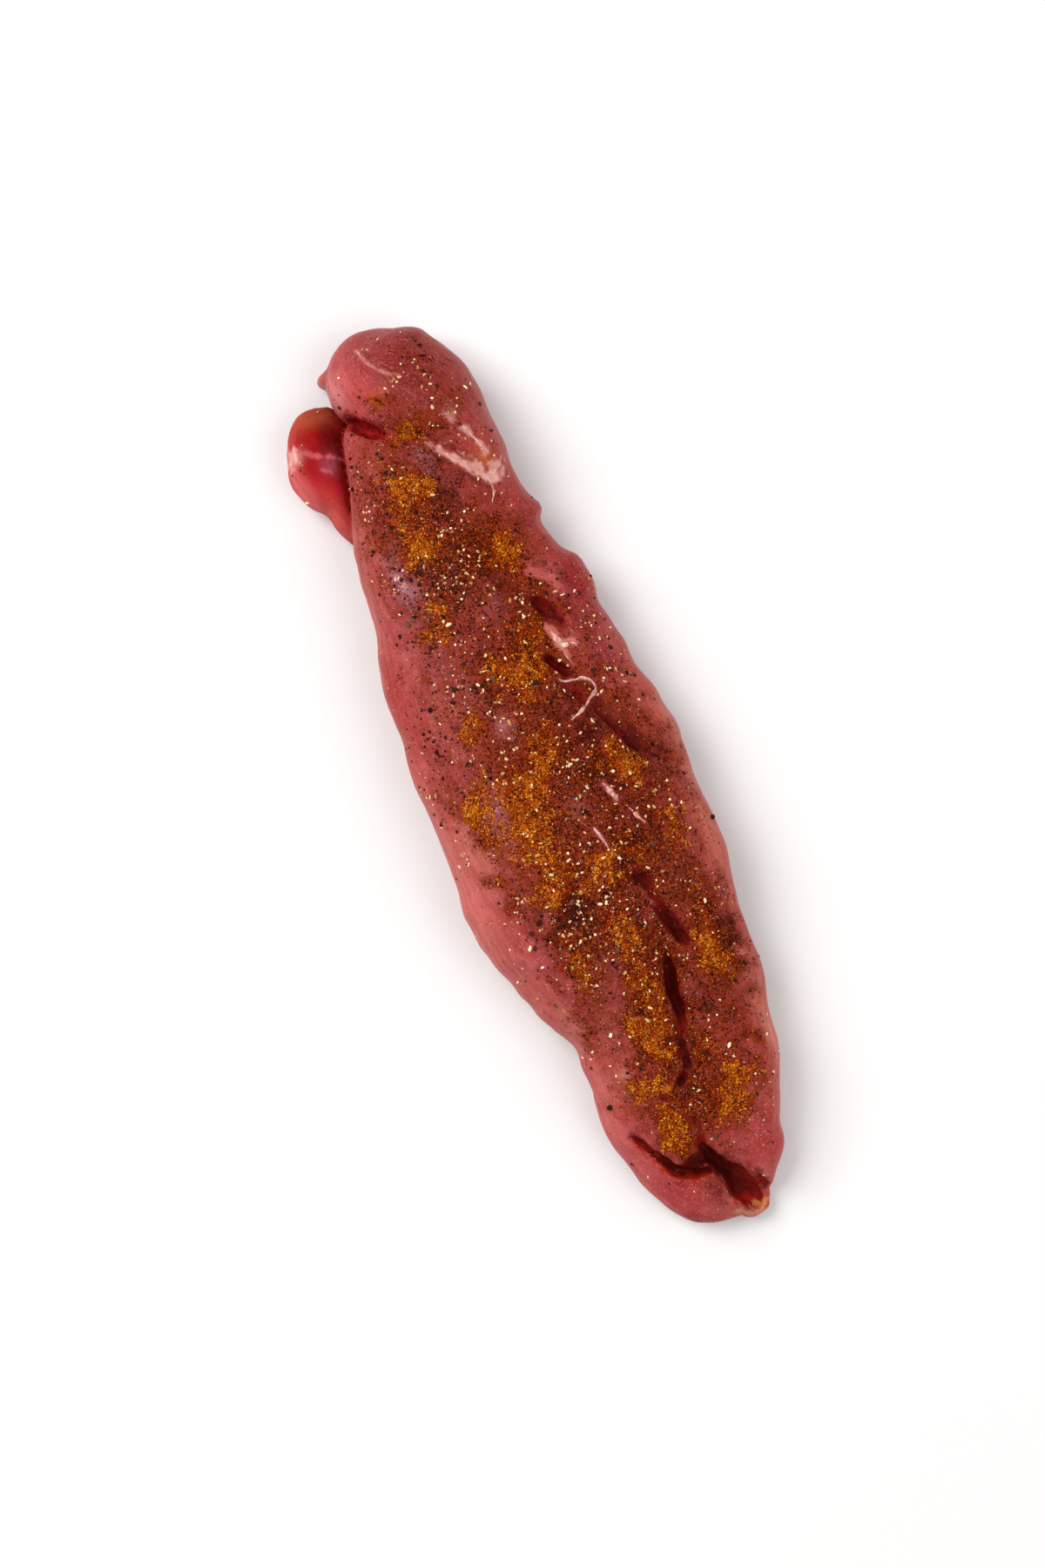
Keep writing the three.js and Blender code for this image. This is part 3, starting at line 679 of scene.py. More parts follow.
# Further streaks: some are the meat's own colour, and some are painted light in narrow places, as
# marked
STREAKS = FAT_STREAKS + [
    (2, [(-56, 29), (-50, 31.4)], (144, 22, 34), 0.7),
    # Painted shade along the crease where the head's edge lies on the body
    (1.4, [(-116, 2.4), (-110.4, 5.8), (-107.2, 7.8), (-102, 11.4), (-96.6, 15), (-91.8, 18.8)],
     (84, 20, 12), 0.85),
    (1.6, [(-41, 24.8), (-46, 23.8), (-53, 20.6)], (160, 34, 42), 0.6),
    (1.7, [(118, -23.2), (120.7, -22), (126.9, -20), (132.2, -17.9), (135.6, -15), (137.8, -10.4),
     (138.4, -5)], (158, 34, 12), 0.95),
    # Painted shade in the cleft below the flap's red rim
    (1, [(121, -20.8), (126.9, -19.2), (131.8, -16.8), (134.8, -14), (136.8, -10), (137.4, -5)],
     (84, 12, 5), 0.8),
    (1.6, [(138, -4.6), (141, -3.2), (146, -2.8), (150, -2)], (180, 76, 62), 0.6),
    (2.2, [(136.4, 1.6), (140.8, 4), (145.4, 6.4)], (160, 44, 30), 0.7),
    (3, [(124, -8.6), (128, -8)], (120, 48, 44), 0.7),
    # Painted shade in the tail's channel, in this row and the next
    (5, [(133, -4), (139, -1.2), (146, 1)], (52, 6, 4), 0.9),
    (4.4, [(144, 0.6), (149, 2.2)], (76, 6, 3), 0.85),
    (3, [(149.6, -1), (151, 1.6), (151.4, 3.4)], (146, 20, 6), 0.95),
    (2, [(153, 3.6), (154, 6), (153.4, 9)], (196, 124, 66), 0.85),
    (2, [(152.6, -2.6), (155.4, 0.8), (156.8, 4.6), (156.2, 8.4)], (202, 136, 104), 0.85),
    (3.8, [(-127.8, -11.8), (-123.8, -9), (-120, -4.8)], (152, 14, 22), 0.85),
    # Painted shade in the narrow gap of the head's cavity
    (1.4, [(-130.8, -13.8), (-128, -12.2), (-125.2, -10)], (98, 3, 8), 0.9),
    # Partly a pale sinew line, partly a painted highlight along the step in the cap
    (0.8, [(-149, -2), (-143.7, -0.8), (-141.6, 0), (-139.4, 1.4), (-137.2, 3.6), (-134.6, 6.8)],
     (206, 132, 122), 0.7),
    # Painted shade just beside that step
    (1.6, [(-146.6, 0.4), (-142.4, 1.6), (-139.4, 3.8), (-136.6, 6.6)], (104, 26, 26), 0.6),
    (3.4, [(-131.6, -3.2), (-130.4, -1.6)], (184, 74, 14), 0.9),
    (3, [(130, -8.4), (132.4, -10.6)], (80, 20, 11), 0.8),
    (2, [(54, 16.8), (58, 17.6), (64, 18.6)], (122, 26, 30), 0.5),
    (2, [(-118.4, 16), (-115.4, 17.4)], (228, 172, 164), 0.8),
    (1.9, [(-112, 19), (-109.6, 20)], (232, 180, 172), 0.9),
    (1.4, [(-109.4, 20.1), (-105.2, 21.5)], (206, 138, 130), 0.8),
    (1.6, [(-105, 21.6), (-101.8, 22.8)], (220, 156, 146), 0.8),
    # Painted highlight on the lobe's rim
    (3, [(-127.2, -33.4), (-124.8, -35.6)], (230, 168, 160), 0.8),
    (1.2, [(-125.4, -30.5), (-122.5, -26), (-119.5, -20)], (200, 92, 96), 0.7),
    (1, [(-118.4, -27), (-116.6, -24.6)], (186, 104, 116), 0.6),
    (0.8, [(42, 10.2), (46.6, 12), (50.6, 13)], (196, 110, 106), 0.8),
    (1, [(55, 12.8), (60.4, 10.9), (65.4, 9.4)], (92, 18, 12), 0.8),
    (1.3, [(52, 17.8), (58, 18.6), (62, 19.6)], (176, 84, 84), 0.7),
    # Painted shade in the shallow crack
    (1.8, [(106, -11.2), (111, -8.2), (115, -6)], (84, 18, 10), 0.8),
]

# Loose strands on the meat: width, height and line
STRANDS = [
    (0.5, 0.2, [(-149.4, -2.4), (-148, -1.8), (-146.4, -1.4)]),
    (0.9, 0.25, [(-112, 19.2), (-108, 20.6), (-101.8, 22.8)]),
    (0.6, 0.25, [(-93.7, 20.7), (-89.5, 19.4), (-85.8, 17.5)]),
    (0.5, 0.2, [(-111, 7.8), (-106, 11.4), (-101, 15), (-96, 19)]),
    (0.5, 0.2, [(-103.6, 14), (-98.8, 17.8), (-95, 21.4)]),
    (0.5, 0.2, [(-96.6, 19.4), (-95, 22), (-97, 24.4)]),
    (2, 0.35, [(-42, 18), (-39.6, 18.8), (-37, 19.2)]),
    (2.3, 0.5, [(-38.4, 18.8), (-36.8, 19.6), (-35.6, 21.6)]),
    (0.4, 0.25, [(-35.4, 19.4), (-32.6, 19.2), (-29.6, 20)]),
    (0.4, 0.25, [(-36.2, 21.6), (-35.2, 23.4), (-33.6, 24)]),
    (1.25, 0.5, [(-27, 14.3), (-25.2, 16.2), (-24.8, 19), (-24.2, 21.4), (-22.4, 23.4), (-19.6, 23.9),
     (-17.1, 20.6), (-15, 16.8), (-13.5, 12.6)]),
    (2.2, 0.5, [(8.8, 13.4), (12, 14.8), (15.7, 15.6)]),
    (0.9, 0.4, [(19, 17.8), (22.5, 19.2), (25.5, 20.8)]),
    (1.1, 0.3, [(20.4, 5.1), (24, 6), (27.8, 6.8)]),
]
# How many sides a strand has, how many steps along it, and how far its middle is lifted
STRAND_SIDES = 10
STRAND_STEPS = 48
STRAND_LIFT = 0.05

# Where each kind of seasoning lies: centre, reach and strength. The clumps are round, and are
# the brightest of the gold powder.
CLUMPS = [
    (x, y, reach, reach, 0.95) for x, y, reach in [
        (32, 3, 3.4), (34, 0, 2.4), (-99, -1, 3), (-104, -8, 2.4), (-101, -4, 2), (0, -7, 3),
        (-4, -2, 2.8), (11, -9, 3.2), (13, -14, 2), (11, -18, 2), (92, -5, 2.8), (95, -3, 2.2),
        (-82, -9, 2.8), (-80, -12, 2), (71, 22, 2.8), (67, 22, 2.8), (75, 22, 2), (10, 22, 2.8),
        (121, -11, 2.6), (117, 10, 2.8), (111, 15, 2.4), (24, -14, 2.4), (29, -11, 2.4), (34, -17, 2.2),
        (105, -8, 2.4), (103, -15, 2), (0, 17, 2.2), (-1, -27, 2.4), (38, -1, 2), (-34, 6, 2.2),
        (-32, 2, 2.2), (-62, -12, 2.2), (-47, 8, 2), (-40, -3, 2), (-118, 3, 2.6), (-75, 15, 2),
        (-70, 17, 2), (56, 1, 2), (-24, -20, 2), (84, -7, 2),
    ]
]
DARK = [
    (-97, 6, 6, 5, 0.8), (-92, 4, 5, 3.4, 0.7), (-112, 5, 4, 2, 0.6), (-104, 5, 4, 3, 0.5),
    (-66, -2, 7, 5, 0.6), (-62, 9, 5, 3, 0.7), (-56, 8, 4, 3, 0.6), (44, -11, 5, 3.6, 0.8),
    (40, -9, 4, 3, 0.7), (-17, 13, 4, 3, 0.5), (30, 12, 4, 4, 0.6), (22, 20, 5, 3, 0.6),
    (84, 16, 6, 3.4, 0.6), (-74, -6, 7, 5, 0.6), (-3, 13, 5, 3, 0.8), (12, 15, 4, 2.4, 0.6),
    (-8, 17, 5, 3, 0.8), (101, 6, 4, 4, 0.5), (-30, -4, 5, 4, 0.3), (18, -5, 5, 4, 0.3),
    (60, -6, 5, 3, 0.4), (-50, -4, 6, 4, 0.4), (23, 19, 5, 3.4, 0.8), (-18, 14, 5, 3.4, 0.8),
    (3, 13, 4, 3, 0.6), (38, 5, 4, 3, 0.7), (113, -5, 3, 2, 0.6), (28, 20, 4, 3, 0.6),
    (68, 32, 5, 3, 0.9), (7, 34, 5, 2.4, 0.8), (-15, 10, 4, 3, 0.6), (-40, 8, 5, 3, 0.3),
    (-88, -16, 6, 3, 0.4), (106, -14, 4, 3, 0.3),
]
GOLD = [
    (-100, -3.2, 5.4, 6.4, 0.7), (-111, -10, 6, 5, 0.5), (10, -27, 7, 2.6, 0.7), (18, -19, 6, 3, 0.5),
    (-94, -10, 8, 6, 0.8), (-81, -9, 5, 9, 0.8), (-87, 12, 4, 4, 0.3), (-72, 15, 9, 6, 0.75),
    (-91, -22, 6, 3, 0.45), (-61, -11, 5, 4, 0.5), (-56, -15, 6, 5, 0.7), (-46, 13, 6, 6, 0.5),
    (-38, 10, 6, 5, 0.55), (-31, 4, 9, 6, 0.8), (-37, -3, 6, 5, 0.6), (-24, -19, 7, 6, 0.75),
    (-9, 2, 6, 6, 0.75), (6, 23, 8, 5, 0.85), (1, 18, 5, 5, 0.5), (6, -12, 10, 8, 0.9),
    (0, -27, 8, 3.6, 0.85), (-5, -21, 8, 6, 0.6), (18, -12, 11, 6, 0.85), (31, -12, 8, 5, 0.5),
    (35, -18, 5, 4, 0.5), (22, -29, 6, 3, 0.5), (28, 30, 6, 5, 0.7), (36, 26, 5, 4, 0.5),
    (31, 14, 4, 6, 0.6), (31, 4, 4, 5, 0.7), (38, -2, 5, 4, 0.4), (55, 0, 10, 4.6, 0.82),
    (72, 0, 10, 5, 0.75), (86, -4, 8, 6, 0.85), (93, -3, 7, 5, 0.4), (52, 28, 6, 3, 0.5),
    (62, 25, 8, 4, 0.6), (74, 23, 8, 6, 0.95), (98, 9, 6, 4, 0.65), (105, -12, 6, 7, 0.66),
    (111, 17, 5, 5, 0.85), (117, 11, 6, 5, 0.9), (123, 5, 4, 4, 0.55), (118, -8, 8, 4, 0.6),
    (122, -12, 8, 5, 0.9), (60, -17, 6, 6, 0.7), (-21.6, 19, 3, 2.4, 0.5), (67, -20, 5, 4, 0.5),
    (78, -22, 5, 3, 0.4), (-118.2, 2.4, 3, 6, 0.97), (-131, -2.4, 2, 2, 0.8),
]
RUST = [
    (-118, 5, 6, 8, 0.7), (-131, -2.4, 2.6, 2.6, 0.8), (-100, -5, 22, 14, 0.8), (-72, 13, 15, 11, 0.85),
    (-76, 4, 12, 9, 0.6), (104, -18, 5, 4, 0.5), (2, -28, 11, 5, 0.45), (31, -27, 11, 4, 0.6),
    (-66, -3, 9, 8, 0.5), (92, 21, 14, 5, 0.5), (-5, -33, 8, 4, 0.4), (-48, -18, 12, 5, 0.5),
    (-21.6, 19, 4, 3, 0.9), (124, -10, 7, 5, 0.8), (-55, 8, 7, 4, 0.4), (-78, -8, 16, 10, 0.5),
    (-60, -12, 14, 10, 0.6), (-36, 6, 20, 13, 0.85), (-24, -12, 16, 10, 0.6), (-4, 2, 18, 14, 0.75),
    (6, -13, 20, 10, 0.7), (6, 27, 17, 10, 0.85), (30, 16, 20, 15, 0.8), (32, -10, 20, 12, 0.78),
    (62, 26, 24, 9, 0.85), (60, 3, 26, 12, 0.9), (60, -16, 16, 9, 0.55), (92, -2, 22, 13, 0.95),
    (114, 11, 13, 10, 0.85), (116, -8, 10, 8, 0.9), (50, -14, 12, 8, 0.7), (-52, 18, 12, 8, 0.6),
    (-138, 15, 8, 5, 0.4), (-16, 26, 14, 8, 0.6), (108, 3, 12, 8, 0.75), (-84, -20, 14, 5, 0.4),
    (-40, 28, 12, 6, 0.3), (78, 26, 9, 5, 0.5), (-118, 18, 12, 7, 0.35), (10, -26, 9, 4, 0.45),
    (78, -22.4, 9, 4, 0.5), (-38, -9, 7, 4, 0.6), (-7, -23, 9, 4, 0.6), (-43, 21, 5, 3, 0.5),
    (20, 4, 70, 16, 0.3), (2, 14, 24, 5, 0.7), (70, 31, 8, 3, 0.7), (106, 22, 9, 4, 0.5),
    (-30, -26, 20, 8, 0.25), (16, 38, 12, 4, 0.35), (76, 10, 16, 8, 0.5),
]
PEPPER = [
    (-95, -12, 14, 8, 0.5), (-74, -14, 10, 8, 0.9), (-60, -18, 12, 8, 0.5), (-76, -2, 8, 6, 0.5),
    (-52, 26, 8, 8, 0.4), (-36, 31, 9, 4, 0.6), (-20, 34, 8, 5, 0.4), (-36, -14, 12, 8, 0.4),
    (-20, -28, 14, 9, 0.5), (-8, -36, 12, 3, 0.4), (14, 34, 12, 4, 0.5), (10, 4, 14, 8, 0.4),
    (46, -12, 8, 5, 1), (40, -20, 8, 5, 0.7), (50, -21, 8, 4, 0.9), (60, -8, 8, 7, 0.5),
    (40, 20, 12, 12, 0.4), (82, 30, 8, 4, 0.3), (70, 8, 16, 6, 0.3), (-140, 15, 9, 4, 0.3),
    (-120, 16, 9, 6, 0.35), (-110, -14, 8, 8, 0.35), (90, -18, 10, 6, 0.3), (100, 6, 10, 8, 0.25),
    (-26, 8, 10, 10, 0.3),
]
CREAM = [
    (-73, -18, 5, 5, 0.95), (-72, -4, 5, 8, 0.7), (-82, 4, 7, 4, 0.6), (-50, -14, 6, 4, 0.6),
    (-8, -13, 9, 5, 0.75), (1, 3, 5, 7, 0.8), (9, 18, 5, 7, 0.6), (25, 30, 6, 5, 0.7),
    (42, -7, 8, 5, 0.95), (47, -14, 6, 5, 0.7), (18, -17, 7, 5, 0.6), (97, -21, 4, 5, 0.4),
    (89, 12, 6, 6, 0.35), (-93, 21, 6, 4, 0.4), (-128, 17, 5, 4, 0.45), (-137, 10, 6, 4, 0.35),
    (-36, 29, 6, 5, 0.5), (-25, 26, 6, 5, 0.35), (-15, -38, 8, 4, 0.5), (17, -35, 6, 4, 0.35),
    (38, -25, 8, 6, 0.4), (60, -14, 5, 9, 0.45), (48, 15, 6, 6, 0.5), (28, 10, 6, 6, 0.5),
    (-107, -16, 7, 7, 0.4), (-114, 16, 8, 6, 0.35), (-30, -10, 12, 9, 0.45), (-52, 32, 5, 5, 0.35),
    (65, 10, 8, 8, 0.4), (112, 26, 8, 4, 0.25), (84, -6, 6, 8, 0.3), (-54, 14, 7, 7, 0.4),
    (-60, 0, 20, 12, 0.2), (20, 0, 40, 18, 0.25), (-20, 10, 20, 14, 0.25), (58, 30, 10, 4, 0.3),
]
SALT = [
    (-50, -16, 26, 8, 0.4), (0, -24, 30, 6, 0.35), (126, 14, 8, 5, 0.8), (-10, 30, 20, 6, 0.3),
    (-100, -4, 16, 12, 0.4), (40, 0, 40, 20, 0.5), (106, 0, 20, 14, 0.5), (-74, -8, 12, 14, 0.5),
]


def colour(seen):
    """A colour seen on screen as linear light."""
    seen = np.array(seen) / 255
    return np.where(seen <= 0.04045, seen / 12.92, ((seen + 0.055) / 1.055) ** 2.4)


def scattered(patches, seed):
    """The amount of a seasoning on the skin, with edges that break up."""
    plan = in_plan(SKIN.x, SKIN.y)
    shifts = [with_waves(0, plan, (1.6, 9, seed + i), (0.7, 3.4, seed + 10 + i)) for i in (0, 1)]
    return amount(SKIN.x + shifts[0], SKIN.y + shifts[1], patches)


def clumped(length, seed):
    """An uneven density, so that grains lie in small clumps with thinner places between."""
    return 0.08 + 1.8 * smooth_step(-0.4, 1.2, waves(SKIN.points, length, seed))


def clear_of_fat():
    """1 away from the fat and the strands, and less on them, where little seasoning sticks."""
    lines = [(width, line) for width, line, tone, strength in FAT_STREAKS]
    lines += [(width, line) for width, height, line in STRANDS]
    share = np.ones(len(SKIN.x))
    for width, line in lines:
        apart = distance_to(SKIN.x, SKIN.y, line)
        share *= 1 - 0.9 * smooth_step(width * 0.7, width * 0.3, apart)
    return share


def skin_colours():
    """The colour of the meat itself at each point, before its seasoning."""
    tone = np.tile(colour(FLESH), (len(SKIN.x), 1))

    def tint(to, share):
        share = np.clip(share, 0, 1)[:, None]
        tone[:] = tone * (1 - share) + colour(to) * share

    x, y = wandered(SKIN.x, SKIN.y)
    drift = with_waves(0.5, SKIN.points, (0.22, 26, 41), (0.16, 11, 42))
    frayed = with_waves(0, SKIN.points, (1, 3.4, 44), (0.6, 1.7, 45))
    tint(FLESH_DEEP, 0.7 * smooth_step(0.4, 1, drift))
    tint(FLESH_PALE, 0.45 * smooth_step(0.4, 1.6, waves(SKIN.points, 8, 43)))
    for form, tints in TINTS.items():
        for *area, to, strength in tints:
            share = amount(x, y, [(*area, strength)]) * (SKIN.form == form)
            if to in (SILVERSKIN_SHEEN, MAUVE):
                share = share * (0.4 + 0.9 * smooth_step(-0.6, 1, frayed))
            tint(to, share)
    # Painted light: the sides pale where they turn down, standing in for light through the thin edges
    # and light bounced from the floor
    rim_light = smooth_step(0.55, 0.05, SKIN.out[:, 2]) * (1 - smooth_step(0.5, 2, SKIN.cut))
    tint(FLESH_PALE, np.choose(SKIN.form, RIM_LIGHT_SHARES) * rim_light)
    spiced = amount(x, y, RUST) * (SKIN.form != LOBE)
    for to, length, seed in ((MAUVE, 6.5, 46), (BROWN, 5, 47), (ORANGE, 4, 48), (MAUVE, 2.6, 49)):
        tint(to, 0.65 * smooth_step(0, 1.2, waves(SKIN.points, length, seed)) * spiced)
    for width, depth, lip, line in CLEFTS:
        apart = distance_to(x, y, line) + 0.1 * (1 + width) * frayed
        near = smooth_step(width * 0.72, width * 0.35, apart) * (SKIN.z > CLEFTS_FROM)
        tint(CLEFT_SHADE, min(0.25 * depth, 0.8) * near)
    # Inside the clefts the cut flesh is a deeper red, partly painted shade, and deeper down it darkens
    # further as painted shade
    tint(CLEFT_RED, smooth_step(0.35, 2, SKIN.cut))
    tint(CLEFT_DEPTH_SHADE, 0.85 * smooth_step(1.6, 4.5, SKIN.cut))
    # Painted shade in the seams where one form meets another, strongest where the body's edge hangs
    # over the lobe
    tint(CLEFT_RED, np.where(SKIN.form == LOBE, 0.8, 0.35) * SKIN.crease)
    # Dark wet flesh in the seams, partly painted shade in the hollows
    wet_and_shade = amount(x, y, WET_AND_SHADED_PLACES) + 0.14 * frayed
    tint(WET_AND_SHADE, 0.9 * smooth_step(0.25, 0.7, wet_and_shade) * (SKIN.z > CLEFTS_FROM))
    for width, line, to, strength in STREAKS:
        apart = distance_to(x, y, line) + 0.2 * width * frayed
        near = smooth_step(width * 0.75, width * 0.25, apart)
        tint(to, strength * near * (SKIN.z > STREAKS_FROM))
    return tone


# Meshes

def linked(name, data):
    """A new object of the scene, from its mesh, lamp or lens."""
    made = bpy.data.objects.new(name, data)
    bpy.context.scene.collection.objects.link(made)
    return made


def mesh_piece(name, points, faces, material, smooth=True):
    """A piece from points in millimetres, that rides with the meat."""
    mesh = bpy.data.meshes.new(name)
    mesh.vertices.add(len(points))
    mesh.vertices.foreach_set("co", (np.asarray(points) * MM).astype(np.float32).ravel())
    mesh.loops.add(faces.size)
    mesh.loops.foreach_set("vertex_index", faces.astype(np.int32).ravel())
    mesh.polygons.add(len(faces))
    starts = np.arange(0, faces.size, faces.shape[1], dtype=np.int32)
    mesh.polygons.foreach_set("loop_start", starts)
    mesh.polygons.foreach_set("use_smooth", np.full(len(faces), smooth))
    mesh.update(calc_edges=True)
    mesh.validate()
    mesh.materials.append(material)
    piece = linked(name, mesh)
    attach(piece, "root")
    return piece


def set_values(piece, name, values, kind="FLOAT", field="value"):
    """Gives each point of a piece a value that its finish reads."""
    layer = piece.data.attributes.new(name, kind, "POINT")
    layer.data.foreach_set(field, np.asarray(values, np.float32).ravel())


# Materials

class Finish:
    """A node material, with short ways to add nodes to it."""

    def __init__(self, name):
        self.material = bpy.data.materials.new(name)
        self.material.use_nodes = True
        self.tree = self.material.node_tree
        self.shader = self.tree.nodes["Principled BSDF"]

    def add(self, kind, inputs, **settings):
        node = self.tree.nodes.new(kind)
        for key, value in settings.items():
            setattr(node, key, value)
        self.fill(node, inputs)
        return node

    def fill(self, node, inputs):
        for key, value in inputs.items():
            if isinstance(value, bpy.types.NodeSocket):
                self.tree.links.new(value, node.inputs[key])
            else:
                node.inputs[key].default_value = value

    def attribute(self, name, output="Fac"):
        return self.add("ShaderNodeAttribute", {}, attribute_name=name).outputs[output]

    def place(self):
        return self.add("ShaderNodeTexCoord", {}).outputs["Object"]

    def noise(self, place, size, detail=2.0, output="Fac"):
        """Noise whose lumps have about the given size, in the units of the place."""
        inputs = {"Vector": place, "Scale": 1 / size, "Detail": detail, "Roughness": 0.55}
        return self.add("ShaderNodeTexNoise", inputs).outputs[output]

    def stretched(self, place, along, around, up):
        """A place scaled along each axis, so that a texture's lumps are stretched."""
        inputs = {0: place, 1: (1 / along, 1 / around, 1 / up)}
        return self.add("ShaderNodeVectorMath", inputs, operation="MULTIPLY").outputs[0]

    def math(self, operation, first, second):
        return self.add("ShaderNodeMath", {0: first, 1: second}, operation=operation).outputs[0]

    def plus(self, first, second):
        return self.math("ADD", first, second)

    def minus(self, first, second):
        return self.math("SUBTRACT", first, second)

    def times(self, first, second):
        return self.math("MULTIPLY", first, second)

    def between(self, value, low, high):
        """0 where the value is below low, 1 above high and smooth between."""
        inputs = {"Value": value, "From Min": low, "From Max": high}
        return self.add("ShaderNodeMapRange", inputs, interpolation_type="SMOOTHSTEP").outputs[0]

    def mixed(self, share, first, second):
        """A tone with a share of another, which can be a colour as seen on screen."""
        if isinstance(second, tuple):
            second = (*colour(second), 1)
        inputs = {0: share, 6: first, 7: second}
        return self.add("ShaderNodeMix", inputs, data_type="RGBA").outputs[2]

    def ramp(self, value, stops):
        """A tone from stops: a value, and a colour as seen on screen."""
        node = self.add("ShaderNodeValToRGB", {"Fac": value})
        stop_list = node.color_ramp.elements
        for i, (at, tone) in enumerate(stops):
            stop = stop_list[i] if i < 2 else stop_list.new(at)
            stop.position = at
            stop.color = (*colour(tone), 1)
        return node.outputs["Color"]


DUST_STOPS = [
    (0.3, (48, 7, 2)), (0.43, (98, 22, 2)), (0.54, (136, 42, 2)),
    (0.66, (168, 72, 4)), (0.8, (200, 112, 16)),
]
FAT_STOPS = [(0.3, (172, 94, 84)), (0.5, (206, 144, 130)), (0.68, (236, 198, 184))]
PEPPER_STOPS = [(0.1, (40, 15, 9)), (0.6, (68, 30, 21)), (0.95, (112, 70, 52))]
CREAM_STOPS = [(0.1, (176, 120, 68)), (0.5, (216, 178, 122)), (0.95, (244, 222, 180))]
GOLD_STOPS = [(0.05, (86, 24, 3)), (0.4, (146, 58, 4)), (0.75, (192, 102, 12)), (0.98, (226, 152, 40))]
RUST_STOPS = [(0.1, (80, 16, 3)), (0.5, (128, 42, 6)), (0.95, (168, 78, 18))]
SALT_STOPS = [(0.1, (160, 82, 62)), (0.5, (192, 122, 98)), (0.95, (226, 180, 152))]
DARK_STOPS = [(0.1, (34, 8, 4)), (0.5, (62, 16, 7)), (0.95, (96, 32, 12))]
FLOOR_STOPS = [(0.3, (225, 225, 225)), (0.7, (229, 228, 227))]


def meat_finish():
    """Wet raw flesh with fine fibres, pale flecks of salt and painted glints, and the stain of the
    spices where they lie.
    """
    finish = Finish("raw_meat")
    flesh = finish.attribute("flesh", "Color")
    lay = finish.attribute("lay", "Vector")
    spot = finish.attribute("spot", "Vector")
    gold = finish.attribute("gold")
    rust = finish.attribute("rust")
    shade = finish.attribute("dark")
    whole = finish.attribute("whole")
    bend = finish.noise(spot, 6, 2.0, "Color")
    bent = finish.add("ShaderNodeVectorMath", {0: lay, 1: bend}, operation="ADD").outputs[0]
    fibre = finish.noise(finish.stretched(bent, 7, 0.8, 1.2), 1, 3.0)
    broad = finish.noise(finish.stretched(bent, 16, 3.4, 4), 1, 2.0)
    mottle = finish.noise(spot, 2.4, 3.0)
    dust = finish.noise(spot, 0.8, 4.0)
    grade = finish.noise(spot, 0.62, 2.0)
    light = finish.times(finish.between(fibre, 0.5, 0.74), finish.times(whole, 0.36))
    tone = finish.mixed(light, flesh, (200, 106, 96))
    dark = finish.between(broad, 0.62, 0.38)
    tone = finish.mixed(finish.times(dark, 0.22), tone, (108, 24, 20))
    # Pale flecks: partly dissolving salt, partly painted glints of light on the wet flesh
    salt_and_glint_flecks = finish.between(finish.noise(spot, 0.7, 3.0), 0.52, 0.74)
    tone = finish.mixed(finish.times(salt_and_glint_flecks, finish.times(whole, 0.38)), tone, (206, 128, 120))
    stained = finish.between(finish.plus(rust, mottle), 0.5, 1.2)
    tone = finish.mixed(finish.times(stained, 0.8), tone, (124, 40, 19))
    tone = finish.mixed(finish.times(shade, 0.7), tone, (62, 14, 9))
    cover = finish.plus(finish.times(rust, 0.55), finish.times(gold, 0.3))
    dusted = finish.between(finish.plus(dust, cover), 0.78, 0.98)
    shift = finish.minus(finish.times(gold, 0.26), finish.times(shade, 0.15))
    dusty = finish.ramp(finish.plus(finish.minus(grade, 0.08), shift), DUST_STOPS)
    bare = finish.minus(0.6, finish.times(whole, 0.24))
    rough = finish.add("ShaderNodeMapRange", {"Value": dusted, "To Min": bare, "To Max": 0.85})
    height = finish.plus(finish.times(fibre, 0.9), finish.times(dust, dusted))
    bump = finish.add("ShaderNodeBump", {"Height": height, "Strength": 0.35, "Distance": 0.25 * MM})
    finish.fill(finish.shader, {
        "Base Color": finish.mixed(dusted, tone, dusty),
        "Roughness": rough.outputs[0],
        "Normal": bump.outputs[0],
        "IOR": 1.36,
        "Specular IOR Level": 0.06,
        "Subsurface Weight": 0.2,
        "Subsurface Radius": (1.0, 0.35, 0.25),
        "Subsurface Scale": 2.5 * MM,
        "Coat Weight": 0.015,
        "Coat Roughness": 0.25,
    })
    return finish.material


def grain_finish(name, stops, rough, glow=0.0):
    """Small grains, each with a tone of its own and a mottled skin."""
    finish = Finish(name)
    mottle = finish.noise(finish.stretched(finish.place(), MM, MM, MM), 0.4, 2.0)
    value = finish.plus(finish.attribute("tone"), finish.times(mottle, 0.3))
    finish.fill(finish.shader, {
        "Base Color": finish.ramp(finish.minus(value, 0.15), stops),
        "Roughness": rough,
        "Specular IOR Level": 0.05,
        "Subsurface Weight": glow,
        "Subsurface Radius": (1.0, 0.8, 0.6),
        "Subsurface Scale": 0.5 * MM,
    })
    return finish.material


def fat_finish():
    """Whitish fat and sinew, a little see-through and mottled."""
    finish = Finish("fat_and_sinew")
    mottle = finish.noise(finish.stretched(finish.place(), MM, MM, MM), 1.2, 4.0)
    finish.fill(finish.shader, {
        "Base Color": finish.ramp(mottle, FAT_STOPS),
        "Roughness": 0.42,
        "Subsurface Weight": 0.3,
        "Subsurface Radius": (1.0, 0.6, 0.45),
        "Subsurface Scale": 1.2 * MM,
    })
    return finish.material


# Seasoning

def octahedron():
    """The corners and sides of the smallest grains, of width 1."""
    corners = np.concatenate([np.eye(3), -np.eye(3)]) / 2
    sides = [(0, 1, 2), (1, 3, 2), (3, 4, 2), (4, 0, 2), (1, 0, 5), (3, 1, 5), (4, 3, 5), (0, 4, 5)]
    return corners, np.array(sides)


